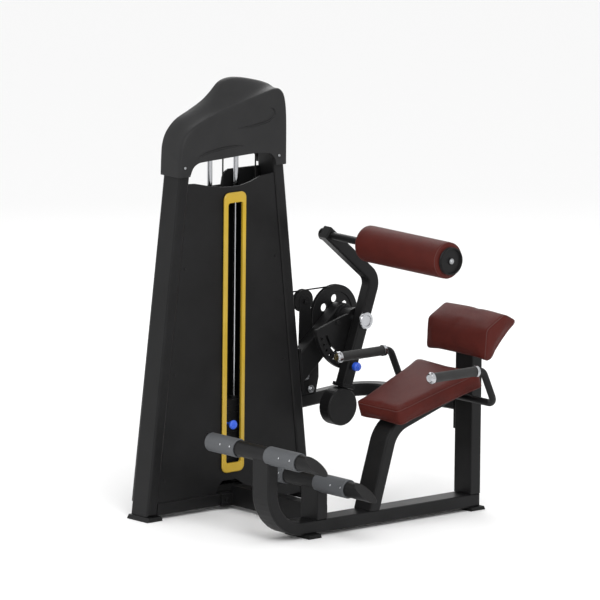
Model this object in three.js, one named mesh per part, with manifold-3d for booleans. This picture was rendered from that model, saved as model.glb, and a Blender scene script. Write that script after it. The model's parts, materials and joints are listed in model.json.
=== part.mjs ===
// Seated back-extension machine: a weight-stack tower, a seat module and a swinging roller arm.
// Millimetres, +Z up. +X runs from the tower towards the seat, +Y from the footrests to the back pad.
// Everything is drawn about the seat's centre plane (X = 0) and moved at the end, so that the origin
// is the centre of the footprint, on the floor.
import * as THREE from "three";
import { mergeVertices } from "three/addons/utils/BufferGeometryUtils.js";
import Module from "manifold-3d";

const wasm = await Module();
wasm.setup();

// ---------- driving dimensions ----------
const GAP = 0.3; // between touching pieces
const TUBE_W = 100; // main frame tube, wide side
const TUBE_T = 50; // main frame tube, narrow side
const EDGE_R = 8; // rounded corners of the frame tubes
const FOOT_H = 14; // the floor feet lift the frame this much

const TOWER_FRONT = -569; // X of the slot face of the uprights
const TOWER_BACK = TOWER_FRONT - TUBE_W;
const TOWER_Y = -78; // centre of the tower
const TOWER_HALF = 417; // half width at the floor
const TOWER_LEAN = 0.1155; // inward lean of each upright, mm per mm of height
const UPRIGHT_TOP = 1430;
const CAP_FOOT = 1331; // lower edge of the moulded cap
const SLOT_Y = -62; // centre of the weight slot

const STACK_X = -634; // plane of the guide rods, the stem and the cable
const STACK_Y = -70;
const ROD_R = 10;
const ROD_STEP = 66; // each rod's distance from the stem
const PLATE_H = 25.5;
const PLATES_FOOT = 115; // underside of the lowest plate
const PLATES_RESTING = 8;
const PLATES_LIFTED = 3;
const PLATE_GAP = 1;

const CABLE_R = 3;
const CAM_R = 110; // cable line on the cam
const TOP_PULLEY_R = 32;
const SIDE_PULLEY_R = 40;
const TOP_PULLEY_Z = 1485;
const PULLEY_HALF = 10; // half the width of a pulley

const PIVOT = [505, 693]; // Y and Z of the arm's axis
const SHAFT_R = 20;
const ARM_X = [-496, -446];
const ARM_DOWN = 251; // direction of the arm's lower leg, degrees from +Y towards +Z
const ARM_UP_LENGTH = 171; // pivot to the elbow's corner
const ARM_TOP = [314, 1062]; // end of the arm's upper leg
const ROLLER = [330.6, 1048]; // roller axis
const ROLLER_R = 73;
const ROLLER_HALF = 240;
const SECTOR_X = [-516, -504];
const SECTOR_R = 204;
const HOLE_CIRCLE = 183;
const HOLE_STEP = 8.4; // degrees between start positions
const HOLES = 7;
const WEIGHT_R = 74; // round counterweight
const WEIGHT_AT = 348; // its centre, from the pivot

const SEAT_TILT = 18; // degrees, front low
const SEAT_FRONT = [193, 397]; // lower front edge of the seat pad
const SEAT_LENGTH = 400;
const SEAT_THICK = 64;
const SEAT_W = [250, 372]; // front and back width
const BACK_W = 350;
const HANDLE_X = 270;
const HANDLE_R = 14;
const GRIP_R = 19;
const FOOTREST_R = 31;
const FOOTREST_UP = [-385, 342]; // Y and Z of the two footrest tubes
const FOOTREST_LOW = [-136, 208];

// ---------- finishes ----------
const paint = () => new THREE.MeshStandardMaterial({ color: 0x2b2b2d, roughness: 0.42, metalness: 0.35 });
const plastic = () => new THREE.MeshStandardMaterial({ color: 0x343436, roughness: 0.5 });
const cover = () => new THREE.MeshStandardMaterial({ color: 0x303032, roughness: 0.45 });
const chrome = () => new THREE.MeshStandardMaterial({ color: 0xd8dadd, roughness: 0.12, metalness: 1 });
const steel = () => new THREE.MeshStandardMaterial({ color: 0x8c8f93, roughness: 0.35, metalness: 0.9 });
const iron = () => new THREE.MeshStandardMaterial({ color: 0x1d1d1f, roughness: 0.6, metalness: 0.3 });
const yellow = () => new THREE.MeshStandardMaterial({ color: 0xd4a82c, roughness: 0.4 });
const blue = () => new THREE.MeshStandardMaterial({ color: 0x2f55d8, roughness: 0.35 });
const maroon = () => new THREE.MeshStandardMaterial({ color: 0x5a2420, roughness: 0.55 });
const rubber = () => new THREE.MeshStandardMaterial({ color: 0x55585c, roughness: 0.8 });
const black = () => new THREE.MeshStandardMaterial({ color: 0x151515, roughness: 0.75 });

// ---------- small tools ----------
const rad = (deg) => (deg * Math.PI) / 180;
const around = ([y, z], r, deg) => [y + r * Math.cos(rad(deg)), z + r * Math.sin(rad(deg))];
const outerLeft = (z) => TOWER_Y - TOWER_HALF + TOWER_LEAN * z;
const outerRight = (z) => TOWER_Y + TOWER_HALF - TOWER_LEAN * z;
const innerLeft = (z) => outerLeft(z) + TUBE_T;
const innerRight = (z) => outerRight(z) - TUBE_T;

// A closed geometry as a manifold solid, and back again.
function solid(geometry) {
  const plain = new THREE.BufferGeometry();
  plain.setAttribute("position", geometry.getAttribute("position").clone());
  if (geometry.index) plain.setIndex(geometry.index.clone());
  const merged = mergeVertices(plain, 1e-3);
  return new wasm.Manifold(
    new wasm.Mesh({
      numProp: 3,
      vertProperties: merged.attributes.position.array,
      triVerts: new Uint32Array(merged.index.array),
    }),
  );
}

function geometryOf(body) {
  const mesh = body.getMesh();
  const geometry = new THREE.BufferGeometry();
  geometry.setAttribute("position", new THREE.Float32BufferAttribute(mesh.vertProperties, 3));
  geometry.setIndex(new THREE.Uint32BufferAttribute(mesh.triVerts, 1));
  const flat = geometry.toNonIndexed();
  flat.computeVertexNormals();
  return flat;
}

const join = (first, ...rest) => rest.reduce((sum, one) => sum.add(one), first);
const cut = (first, ...rest) => rest.reduce((sum, one) => sum.subtract(one), first);

function box(x0, x1, y0, y1, z0, z1) {
  const g = new THREE.BoxGeometry(x1 - x0, y1 - y0, z1 - z0);
  g.translate((x0 + x1) / 2, (y0 + y1) / 2, (z0 + z1) / 2);
  return solid(g);
}

// A cylinder along X about the line (y, z).
function rodX(r, x0, x1, [y, z], sides = 32) {
  const g = new THREE.CylinderGeometry(r, r, x1 - x0, sides);
  g.rotateZ(-Math.PI / 2);
  g.translate((x0 + x1) / 2, y, z);
  return solid(g);
}

function rodZ(r, z0, z1, x, y, sides = 24) {
  const g = new THREE.CylinderGeometry(r, r, z1 - z0, sides);
  g.rotateX(Math.PI / 2);
  g.translate(x, y, (z0 + z1) / 2);
  return solid(g);
}

// An outline in the Y-Z plane, drawn out along X, with its rims rounded by r.
function slab(outline, x0, x1, r = 0, rounds = 2) {
  const shape = outline instanceof THREE.Shape
    ? outline
    : new THREE.Shape(outline.map(([y, z]) => new THREE.Vector2(y, z)));
  const g = new THREE.ExtrudeGeometry(shape, {
    depth: x1 - x0 - 2 * r,
    curveSegments: 6,
    bevelEnabled: r > 0,
    bevelThickness: r,
    bevelSize: r,
    bevelOffset: -r,
    bevelSegments: rounds,
  });
  g.applyMatrix4(
    new THREE.Matrix4().makeBasis(
      new THREE.Vector3(0, 1, 0),
      new THREE.Vector3(0, 0, 1),
      new THREE.Vector3(1, 0, 0),
    ),
  );
  g.translate(x0 + r, 0, 0);
  return solid(g);
}

// The centre line through the corners, each turned with radius r; steps points on each turn.
function bend(corners, r, steps = 8) {
  const line = [corners[0].clone()];
  for (let i = 1; i < corners.length - 1; i++) {
    const here = corners[i];
    const back = corners[i - 1].clone().sub(here).normalize();
    const on = corners[i + 1].clone().sub(here).normalize();
    const half = Math.acos(THREE.MathUtils.clamp(back.dot(on), -1, 1)) / 2;
    const centre = back.clone().add(on).normalize().multiplyScalar(r / Math.sin(half)).add(here);
    const start = back.clone().multiplyScalar(r / Math.tan(half)).add(here).sub(centre);
    const end = on.clone().multiplyScalar(r / Math.tan(half)).add(here).sub(centre);
    const swing = Math.PI - 2 * half;
    for (let k = 0; k <= steps; k++) {
      const t = k / steps;
      const a = Math.sin((1 - t) * swing) / Math.sin(swing);
      const b = Math.sin(t * swing) / Math.sin(swing);
      line.push(start.clone().multiplyScalar(a).addScaledVector(end, b).add(centre));
    }
  }
  line.push(corners[corners.length - 1].clone());
  return line;
}

// Outline of a flat bar of the given width along corners in the Y-Z plane.
function bar(corners, width, r, steps = 8) {
  const line = bend(corners.map(([y, z]) => new THREE.Vector3(y, z, 0)), r, steps);
  const left = [];
  const right = [];
  line.forEach((p, i) => {
    const before = line[Math.max(i - 1, 0)];
    const after = line[Math.min(i + 1, line.length - 1)];
    const t = after.clone().sub(before).normalize();
    left.push([p.x - (t.y * width) / 2, p.y + (t.x * width) / 2]);
    right.unshift([p.x + (t.y * width) / 2, p.y - (t.x * width) / 2]);
  });
  return [...right, ...left].reverse();
}

// A straight-run polyline as a curve, so that a section can be drawn along it.
class Route extends THREE.Curve {
  constructor(points) {
    super();
    this.points = points;
  }
  getPoint(t, target = new THREE.Vector3()) {
    const s = t * (this.points.length - 1);
    const i = Math.min(Math.floor(s), this.points.length - 2);
    return target.lerpVectors(this.points[i], this.points[i + 1], s - i);
  }
  getPointAt(u, target) {
    return this.getPoint(u, target);
  }
  getTangent(t, target = new THREE.Vector3()) {
    const last = this.points.length - 1;
    const i = Math.round(t * last);
    const before = this.points[Math.max(i - 1, 0)];
    const after = this.points[Math.min(i + 1, last)];
    return target.subVectors(after, before).normalize();
  }
  getTangentAt(u, target) {
    return this.getTangent(u, target);
  }
  getSpacedPoints() {
    return this.points.map((p) => p.clone());
  }
}

function sweep(points, section) {
  const route = new Route(points);
  return solid(
    new THREE.ExtrudeGeometry(section, {
      steps: points.length - 1,
      extrudePath: route,
      bevelEnabled: false,
    }),
  );
}

function roundSection(r, sides = 16) {
  const turn = (k) => (2 * Math.PI * k) / sides;
  const points = Array.from({ length: sides }, (_, k) =>
    new THREE.Vector2(r * Math.cos(turn(k)), r * Math.sin(turn(k))));
  return new THREE.Shape(points);
}

function squareSection(w, h, r) {
  const shape = new THREE.Shape();
  const [a, b] = [w / 2, h / 2];
  shape.moveTo(-a + r, -b);
  shape.lineTo(a - r, -b);
  shape.lineTo(a, -b + r);
  shape.lineTo(a, b - r);
  shape.lineTo(a - r, b);
  shape.lineTo(-a + r, b);
  shape.lineTo(-a, b - r);
  shape.lineTo(-a, -b + r);
  shape.closePath();
  return shape;
}

// A turned piece: profile of [radius, x] pairs about the X line through (y, z).
function turned(profile, [y, z], sides = 32) {
  const g = new THREE.LatheGeometry(profile.map(([r, x]) => new THREE.Vector2(r, x)), sides);
  g.rotateZ(-Math.PI / 2);
  g.translate(0, y, z);
  const body = solid(g);
  if (body.volume() > 0) return body;
  return solid(
    new THREE.LatheGeometry([...profile].reverse().map(([r, x]) => new THREE.Vector2(r, x)), sides)
      .rotateZ(-Math.PI / 2)
      .translate(0, y, z),
  );
}

// A grooved wheel on a bore, centred on x.
function pulley(pitch, at, x, bore) {
  const rim = pitch + 5;
  const floor = pitch - CABLE_R - 0.6;
  const half = PULLEY_HALF;
  const lip = CABLE_R + 1.2;
  return turned(
    [
      [bore, x - half],
      [rim, x - half],
      [rim, x - lip - 2],
      [floor, x - lip + 0.6],
      [floor, x + lip - 0.6],
      [rim, x + lip + 2],
      [rim, x + half],
      [bore, x + half],
      [bore, x - half],
    ],
    at,
  );
}

function hexBolt(at, x0, x1, r = 9) {
  return rodX(r, x0, x1, at, 6);
}

const group = new THREE.Group();
function add(name, body, material) {
  const mesh = new THREE.Mesh(geometryOf(body), material);
  mesh.name = name;
  group.add(mesh);
}

// ---------- tower frame ----------
const foot0 = FOOT_H + 2;
add(
  "upright_front_side",
  slab(
    [[outerLeft(foot0), foot0], [innerLeft(foot0), foot0], [innerLeft(UPRIGHT_TOP), UPRIGHT_TOP],
      [outerLeft(UPRIGHT_TOP), UPRIGHT_TOP]],
    TOWER_BACK, TOWER_FRONT, EDGE_R,
  ),
  paint(),
);
const cableOutZ = PIVOT[1] + CAM_R; // the cable leaves the tower level with the top of the cam
add(
  "upright_seat_side",
  cut(
    slab(
      [[innerRight(foot0), foot0], [outerRight(foot0), foot0], [outerRight(UPRIGHT_TOP), UPRIGHT_TOP],
        [innerRight(UPRIGHT_TOP), UPRIGHT_TOP]],
      TOWER_BACK, TOWER_FRONT, EDGE_R,
    ),
    box(STACK_X - 9, STACK_X + 9, 150, 320, cableOutZ - 14, cableOutZ + 14),
  ),
  paint(),
);
const railTop = FOOT_H + TUBE_T;
add(
  "tower_bottom_rail",
  slab(
    [[innerLeft(FOOT_H + 2) + GAP, FOOT_H + 2], [innerRight(FOOT_H + 2) - GAP, FOOT_H + 2],
      [innerRight(railTop) - GAP, railTop], [innerLeft(railTop) + GAP, railTop]],
    TOWER_BACK, TOWER_FRONT, 4,
  ),
  paint(),
);
for (const [name, y0, y1] of [
  ["tower_foot_front_side", outerLeft(0) - 14, outerLeft(0) + 62],
  ["tower_foot_seat_side", outerRight(0) - 62, outerRight(0) + 14],
]) {
  const plate = slab(
    [[y0, 0], [y1, 0], [y1 - 4, foot0 - GAP], [y0 + 10, foot0 - GAP]],
    TOWER_BACK - 4, TOWER_FRONT + 20, 0,
  );
  add(name, plate, paint());
}

// ---------- covers and slot trim ----------
const coverFoot = railTop + 0.6;
const coverTop = 1300;
const coverSide = (left, z) => (left ? innerLeft(z) + 1 : innerRight(z) - 1);
function roundedRect(y0, y1, z0, z1, r) {
  const s = new THREE.Shape();
  s.moveTo(y0 + r, z0);
  s.lineTo(y1 - r, z0);
  s.absarc(y1 - r, z0 + r, r, -Math.PI / 2, 0);
  s.lineTo(y1, z1 - r);
  s.absarc(y1 - r, z1 - r, r, 0, Math.PI / 2);
  s.lineTo(y0 + r, z1);
  s.absarc(y0 + r, z1 - r, r, Math.PI / 2, Math.PI);
  s.lineTo(y0, z0 + r);
  s.absarc(y0 + r, z0 + r, r, Math.PI, 1.5 * Math.PI);
  return s;
}
const TRIM = { half: 56, z0: 143, z1: 1245, r: 26 };
const SLOT = { half: 37, z0: 180, z1: 1205, r: 10 };
const slotHole = roundedRect(SLOT_Y - SLOT.half, SLOT_Y + SLOT.half, SLOT.z0, SLOT.z1, SLOT.r);
add(
  "front_cover",
  cut(
    slab(
      [[coverSide(true, coverFoot), coverFoot], [-143, coverFoot], [-128, 96], [-108, 112], [-38, 112],
        [-8, 92], [30, coverFoot], [coverSide(false, coverFoot), coverFoot],
        [coverSide(false, coverTop), coverTop], [68, 1293], [23, 1278], [-28, 1268], [-80, 1267],
        [-131, 1271], [-200, 1284], [-260, coverTop - 2], [coverSide(true, coverTop), coverTop]],
      TOWER_FRONT - 11, TOWER_FRONT - 5,
    ),
    slab(slotHole, TOWER_FRONT - 20, TOWER_FRONT + 5),
  ),
  cover(),
);
add(
  "rear_cover",
  slab(
    [[outerLeft(coverFoot) + 6, coverFoot], [outerRight(coverFoot) - 6, coverFoot],
      [outerRight(coverTop) - 6, coverTop - 40], [150, coverTop - 40], [147, 1315], [-10, 1317],
      [-28, 1309], [-41, 1288], [-46, coverTop - 40], [outerLeft(coverTop) + 6, coverTop - 40]],
    TOWER_BACK - 7, TOWER_BACK - GAP,
  ),
  cover(),
);
add(
  "slot_trim",
  cut(
    slab(
      roundedRect(SLOT_Y - TRIM.half, SLOT_Y + TRIM.half, TRIM.z0, TRIM.z1, TRIM.r),
      TOWER_FRONT - 5 + GAP, TOWER_FRONT + 5, 3, 1,
    ),
    slab(slotHole, TOWER_FRONT - 20, TOWER_FRONT + 25),
  ),
  yellow(),
);

// ---------- moulded cap ----------
// Outlines at the back and at the front, both from the lower front-side corner over the top.
const CAP_BACK = [[-352, CAP_FOOT], [-350, 1400], [-345, 1452], [-325, 1498], [-280, 1540], [-210, 1571],
  [-150, 1600], [-110, 1628], [-66, 1665], [-20, 1677], [30, 1674], [90, 1662], [150, 1645], [178, 1630],
  [192, 1602], [196, 1550], [196, 1450], [197, CAP_FOOT]];
const CAP_FRONT = [[-352, CAP_FOOT], [-351, 1370], [-349, 1402], [-340, 1458], [-314, 1499], [-270, 1526],
  [-208, 1551], [-165, 1565], [-125, 1577], [-88, 1585], [-50, 1594], [20, 1610], [85, 1624], [135, 1632],
  [162, 1624], [181, 1592], [191, 1510], [193, CAP_FOOT]];
const CAP_X = [TOWER_BACK - 9, TOWER_FRONT + 13];
function capRing(x, mix, inset) {
  return CAP_BACK.map(([y, z], i) => {
    const [fy, fz] = CAP_FRONT[i];
    const py = THREE.MathUtils.lerp(y, fy, mix);
    const pz = THREE.MathUtils.lerp(z, fz, mix);
    const out = new THREE.Vector2(py + 78, pz - CAP_FOOT).normalize();
    const lift = pz > CAP_FOOT + 1 ? inset * out.y : 0;
    return new THREE.Vector3(x, py - inset * out.x, pz - lift);
  });
}
function loft(rings) {
  const n = rings[0].length;
  const points = rings.flat();
  const index = [];
  for (let s = 0; s < rings.length - 1; s++)
    for (let i = 0; i < n; i++) {
      const a = s * n + i;
      const b = s * n + ((i + 1) % n);
      index.push(a, a + n, b, b, a + n, b + n);
    }
  for (const s of [0, rings.length - 1]) {
    const flat = rings[s].map((p) => new THREE.Vector2(p.y, p.z));
    for (const [a, b, c] of THREE.ShapeUtils.triangulateShape(flat, [])) {
      const side = (flat[b].x - flat[a].x) * (flat[c].y - flat[a].y)
        - (flat[b].y - flat[a].y) * (flat[c].x - flat[a].x);
      const facesOut = s === 0 ? side < 0 : side > 0;
      index.push(s * n + a, s * n + (facesOut ? b : c), s * n + (facesOut ? c : b));
    }
  }
  const g = new THREE.BufferGeometry().setFromPoints(points);
  g.setIndex(index);
  let body = solid(g);
  if (body.volume() < 0) {
    g.index.array.reverse();
    body = solid(g);
  }
  return body;
}
const capBody = loft([
  capRing(CAP_X[0], 0, 8),
  capRing(CAP_X[0] + 8, 0, 0),
  capRing(-640, 0, 0),
  capRing(-615, 0.3, 0),
  capRing(-590, 0.7, 0),
  capRing(CAP_X[1] - 12, 1, 0),
  capRing(CAP_X[1] - 4, 1, 3),
  capRing(CAP_X[1], 1, 9),
]);
const capPocket = slab(
  [[outerLeft(CAP_FOOT - 40) - 1.5, CAP_FOOT - 40], [outerRight(CAP_FOOT - 40) + 1.5, CAP_FOOT - 40],
    [outerRight(UPRIGHT_TOP) + 1.5, UPRIGHT_TOP + 8], [145, UPRIGHT_TOP + 8], [118, 1534], [-96, 1534],
    [-124, UPRIGHT_TOP + 8], [outerLeft(UPRIGHT_TOP) - 1.5, UPRIGHT_TOP + 8]],
  TOWER_BACK - 0.6, TOWER_FRONT + 0.6,
);
const capWindow = slab(
  [[-301, CAP_FOOT - 40], [139, CAP_FOOT - 40], [138, 1330], [133, 1350], [120, 1369], [99, 1382],
    [48, 1388], [-4, 1389], [-133, 1385], [-230, 1382], [-261, 1378], [-284, 1364], [-299, 1335]],
  CAP_X[0] - 20, CAP_X[1] + 20,
);
add("top_cap", cut(capBody, capPocket, capWindow), plastic());

// ---------- top cross member with the two top pulleys ----------
const crossFoot = 1392;
const topPulleyA = [STACK_Y + TOP_PULLEY_R, TOP_PULLEY_Z];
const topPulleyB = [96 - TOP_PULLEY_R, TOP_PULLEY_Z];
add(
  "top_cross_member",
  join(
    cut(
      slab(
        [[innerLeft(crossFoot) + GAP, crossFoot], [innerRight(crossFoot) - GAP, crossFoot],
          [innerRight(UPRIGHT_TOP) - GAP, UPRIGHT_TOP], [innerLeft(UPRIGHT_TOP) + GAP, UPRIGHT_TOP]],
        TOWER_BACK + 4, TOWER_FRONT - 14, 3,
      ),
      box(STACK_X - 8, STACK_X + 8, STACK_Y - 8, STACK_Y + 8, crossFoot - 9, UPRIGHT_TOP + 9),
      box(STACK_X - 8, STACK_X + 8, 88, 104, crossFoot - 9, UPRIGHT_TOP + 9),
    ),
    box(STACK_X + 12, STACK_X + 18, topPulleyA[0] - 22, topPulleyB[0] + 22,
      UPRIGHT_TOP - 5, TOP_PULLEY_Z + 24),
    rodX(6, STACK_X - 13, STACK_X + 15, topPulleyA, 20),
    rodX(6, STACK_X - 13, STACK_X + 15, topPulleyB, 20),
  ),
  paint(),
);
add("top_pulley_stack", pulley(TOP_PULLEY_R, topPulleyA, STACK_X, 6 + GAP), black());
add("top_pulley_side", pulley(TOP_PULLEY_R, topPulleyB, STACK_X, 6 + GAP), black());

// ---------- guide rods and weight stack ----------
const rodYs = [STACK_Y - ROD_STEP, STACK_Y + ROD_STEP];
add("guide_rod_front_side", rodZ(ROD_R, railTop + GAP, crossFoot - GAP, STACK_X, rodYs[0]), chrome());
add("guide_rod_seat_side", rodZ(ROD_R, railTop + GAP, crossFoot - GAP, STACK_X, rodYs[1]), chrome());
const throughRods = (body, r) => cut(
  body,
  ...rodYs.map((y) => rodZ(r, 0, 700, STACK_X, y, 20)),
);
add(
  "rod_block",
  throughRods(
    join(
      box(STACK_X - 30, STACK_X + 30, rodYs[0] - 26, rodYs[1] + 26, railTop + GAP, railTop + 26),
      ...rodYs.map((y) => rodZ(23, railTop + 20, PLATES_FOOT - GAP, STACK_X, y, 24)),
    ),
    ROD_R + GAP,
  ),
  black(),
);
const plateFace = (z) => box(
  STACK_X - 32, STACK_X + 32, STACK_Y - 140, STACK_Y + 140,
  z + PLATE_GAP / 2, z + PLATE_H - PLATE_GAP / 2,
);
const layers = (from, count) => {
  const core = box(
    STACK_X - 29, STACK_X + 29, STACK_Y - 137, STACK_Y + 137,
    from + PLATE_GAP / 2, from + count * PLATE_H - PLATE_GAP / 2,
  );
  return join(core, ...Array.from({ length: count }, (_, k) => plateFace(from + k * PLATE_H)));
};
const stemHole = rodZ(CABLE_R + 1, 0, 700, STACK_X, STACK_Y, 16);
const liftedFoot = PLATES_FOOT + PLATES_RESTING * PLATE_H;
const headFoot = liftedFoot + PLATES_LIFTED * PLATE_H;
const pinHole = (z, y) => box(STACK_X - 8, STACK_X + 60, y - 5.5, y + 5.5, z - 5.5, z + 5.5);
const pinZ = liftedFoot + PLATE_H / 2;
const restingHoles = Array.from({ length: PLATES_RESTING }, (_, k) =>
  pinHole(PLATES_FOOT + (k + 0.5) * PLATE_H, STACK_Y));
const liftedHoles = Array.from({ length: PLATES_LIFTED }, (_, k) =>
  pinHole(liftedFoot + (k + 0.5) * PLATE_H, STACK_Y));
add(
  "plates_resting",
  cut(throughRods(layers(PLATES_FOOT, PLATES_RESTING), ROD_R + 1), stemHole, ...restingHoles),
  iron(),
);
add(
  "plates_lifted",
  cut(throughRods(layers(liftedFoot, PLATES_LIFTED), ROD_R + 1), stemHole, ...liftedHoles),
  iron(),
);
add(
  "head_plate",
  cut(
    throughRods(
      join(
        plateFace(headFoot),
        rodZ(15, headFoot + 10, headFoot + PLATE_H + 14, STACK_X, STACK_Y, 24),
        rodZ(9, headFoot + 10, headFoot + PLATE_H + 50, STACK_X, STACK_Y, 20),
        ...rodYs.map((y) => rodZ(18, headFoot + 10, headFoot + PLATE_H + 8, STACK_X, y, 24)),
      ),
      ROD_R + 1,
    ),
    stemHole,
  ),
  iron(),
);
add(
  "selector_pin",
  join(
    rodX(4.6, STACK_X + 8, TOWER_FRONT - 6, [STACK_Y, pinZ], 16),
    turned(
      [[0, TOWER_FRONT - 10], [9, TOWER_FRONT - 10], [11, TOWER_FRONT + 2], [17, TOWER_FRONT + 4],
        [18.5, TOWER_FRONT + 12], [14, TOWER_FRONT + 18], [0, TOWER_FRONT + 20]],
      [STACK_Y, pinZ], 24,
    ),
  ),
  blue(),
);

// ---------- cable, side pulley and idler ----------
const sidePulley = [96 + SIDE_PULLEY_R, cableOutZ + SIDE_PULLEY_R];
const idler = [345, cableOutZ - SIDE_PULLEY_R];
add("side_pulley", pulley(SIDE_PULLEY_R, sidePulley, STACK_X, 6 + GAP), black());
add(
  "side_pulley_bracket",
  join(
    slab(
      [[sidePulley[0] - 22, sidePulley[1] - 24], [innerRight(sidePulley[1] - 24) - GAP, sidePulley[1] - 24],
        [innerRight(sidePulley[1] + 24) - GAP, sidePulley[1] + 24],
        [sidePulley[0] - 22, sidePulley[1] + 24]],
      STACK_X + 12, STACK_X + 18,
    ),
    rodX(6, STACK_X - 13, STACK_X + 15, sidePulley, 20),
  ),
  paint(),
);
add("idler_pulley", pulley(SIDE_PULLEY_R, idler, STACK_X, 6 + GAP), black());
const SUPPORT_X = [-621, -571];
add(
  "idler_bracket",
  join(
    slab(
      [[idler[0] - 30, 560], [idler[0] + 42, 620], [idler[0] + 26, idler[1] + 10],
        [idler[0] + 10, idler[1] + 24],
        [idler[0] - 12, idler[1] + 24], [idler[0] - 26, idler[1] + 8]],
      STACK_X + PULLEY_HALF + GAP, SUPPORT_X[0] - GAP,
    ),
    rodX(6, STACK_X - 13, SUPPORT_X[0] - 1, idler, 20),
    hexBolt(idler, SUPPORT_X[0] - 1, SUPPORT_X[0] + 11),
  ),
  steel(),
);
const cableLine = bend(
  [
    new THREE.Vector3(STACK_X, STACK_Y, headFoot + PLATE_H + 41),
    new THREE.Vector3(STACK_X, STACK_Y, TOP_PULLEY_Z + TOP_PULLEY_R),
    new THREE.Vector3(STACK_X, 96, TOP_PULLEY_Z + TOP_PULLEY_R),
  ],
  TOP_PULLEY_R,
  10,
);
cableLine.pop();
const cableDown = bend(
  [
    new THREE.Vector3(STACK_X, STACK_Y + TOP_PULLEY_R, TOP_PULLEY_Z + TOP_PULLEY_R),
    new THREE.Vector3(STACK_X, 96, TOP_PULLEY_Z + TOP_PULLEY_R),
    new THREE.Vector3(STACK_X, 96, 1100),
  ],
  TOP_PULLEY_R,
  10,
).slice(1);
cableDown.pop();
const cableOut = bend(
  [
    new THREE.Vector3(STACK_X, 96, 1100),
    new THREE.Vector3(STACK_X, 96, cableOutZ),
    new THREE.Vector3(STACK_X, PIVOT[0], cableOutZ),
  ],
  SIDE_PULLEY_R,
  10,
).slice(1);
const cableWrap = [6, 12, 18, 24, 30, 36, 42].map((deg) => {
  const [y, z] = around(PIVOT, CAM_R, 90 - deg);
  return new THREE.Vector3(STACK_X, y, z);
});
const cableRoute = [...cableLine, ...cableDown, ...cableOut, ...cableWrap];
add("cable", sweep(cableRoute, roundSection(CABLE_R, 8)), black());

// ---------- pivot support, housing, shaft and cam ----------
const rise = 40.4; // slope of the support tube, degrees
const along = [Math.cos(rad(rise)), Math.sin(rad(rise))];
const across = [-along[1], along[0]];
// Where a line parallel to the support, offset by h, meets the outer face of the upright.
function onUpright(h, gap) {
  const [py, pz] = [PIVOT[0] + across[0] * h, PIVOT[1] + across[1] * h];
  const t = (outerRight(0) + gap - py - TOWER_LEAN * pz) / (along[0] + TOWER_LEAN * along[1]);
  return [py + along[0] * t, pz + along[1] * t];
}
const supportEnd = Array.from({ length: 11 }, (_, k) => around(PIVOT, TUBE_W / 2, rise - 90 + 18 * k));
const flangeZ = [onUpright(-TUBE_W / 2, 1)[1] - 26, onUpright(TUBE_W / 2, 1)[1] + 26];
add(
  "pivot_support",
  cut(
    join(
      slab([onUpright(-TUBE_W / 2, 8), ...supportEnd, onUpright(TUBE_W / 2, 8)], ...SUPPORT_X, 5),
      slab(
        [[outerRight(flangeZ[0]) + GAP, flangeZ[0]], [outerRight(flangeZ[0]) + 12, flangeZ[0]],
          [outerRight(flangeZ[1]) + 12, flangeZ[1]], [outerRight(flangeZ[1]) + GAP, flangeZ[1]]],
        TOWER_BACK + 6, TOWER_FRONT - 0.5,
      ),
    ),
    rodX(SHAFT_R + GAP, SUPPORT_X[0] - 9, SUPPORT_X[1] + 9, PIVOT),
  ),
  paint(),
);
add(
  "pivot_housing",
  turned(
    [[SHAFT_R + GAP, SUPPORT_X[1] + GAP], [44, SUPPORT_X[1] + GAP], [44, SUPPORT_X[1] + 10],
      [36, SUPPORT_X[1] + 12], [36, SECTOR_X[0] - 5], [SHAFT_R + GAP, SECTOR_X[0] - 5],
      [SHAFT_R + GAP, SUPPORT_X[1] + GAP]],
    PIVOT,
  ),
  paint(),
);
add(
  "pivot_shaft",
  turned(
    [[0, STACK_X - 22], [26, STACK_X - 22], [26, STACK_X - PULLEY_HALF - GAP],
      [SHAFT_R, STACK_X - PULLEY_HALF - GAP],
      [SHAFT_R, ARM_X[1] + GAP], [33, ARM_X[1] + GAP], [33, ARM_X[1] + 9], [30, ARM_X[1] + 12],
      [22, ARM_X[1] + 12], [20, ARM_X[1] + 8], [0, ARM_X[1] + 8]],
    PIVOT,
  ),
  chrome(),
);
const camRim = CAM_R + 6;
const camFloor = CAM_R - CABLE_R - 0.6;
add(
  "cam",
  cut(
    turned(
      [[SHAFT_R + GAP, STACK_X - PULLEY_HALF], [34, STACK_X - PULLEY_HALF], [34, STACK_X - 4],
        [88, STACK_X - 4],
        [90, STACK_X - PULLEY_HALF + 2], [camRim, STACK_X - PULLEY_HALF + 2], [camRim, STACK_X - 6],
        [camFloor, STACK_X - 3.6], [camFloor, STACK_X + 3.6], [camRim, STACK_X + 6],
        [camRim, STACK_X + PULLEY_HALF - 2], [90, STACK_X + PULLEY_HALF - 2], [88, STACK_X + 4],
        [34, STACK_X + 4], [34, STACK_X + PULLEY_HALF], [SHAFT_R + GAP, STACK_X + PULLEY_HALF],
        [SHAFT_R + GAP, STACK_X - PULLEY_HALF]],
      PIVOT, 48,
    ),
    ...[0, 60, 120, 180, 240, 300].map((deg) =>
      rodX(16, STACK_X - 20, STACK_X + 20, around(PIVOT, 61, deg + 30), 16)),
  ),
  steel(),
);

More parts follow.
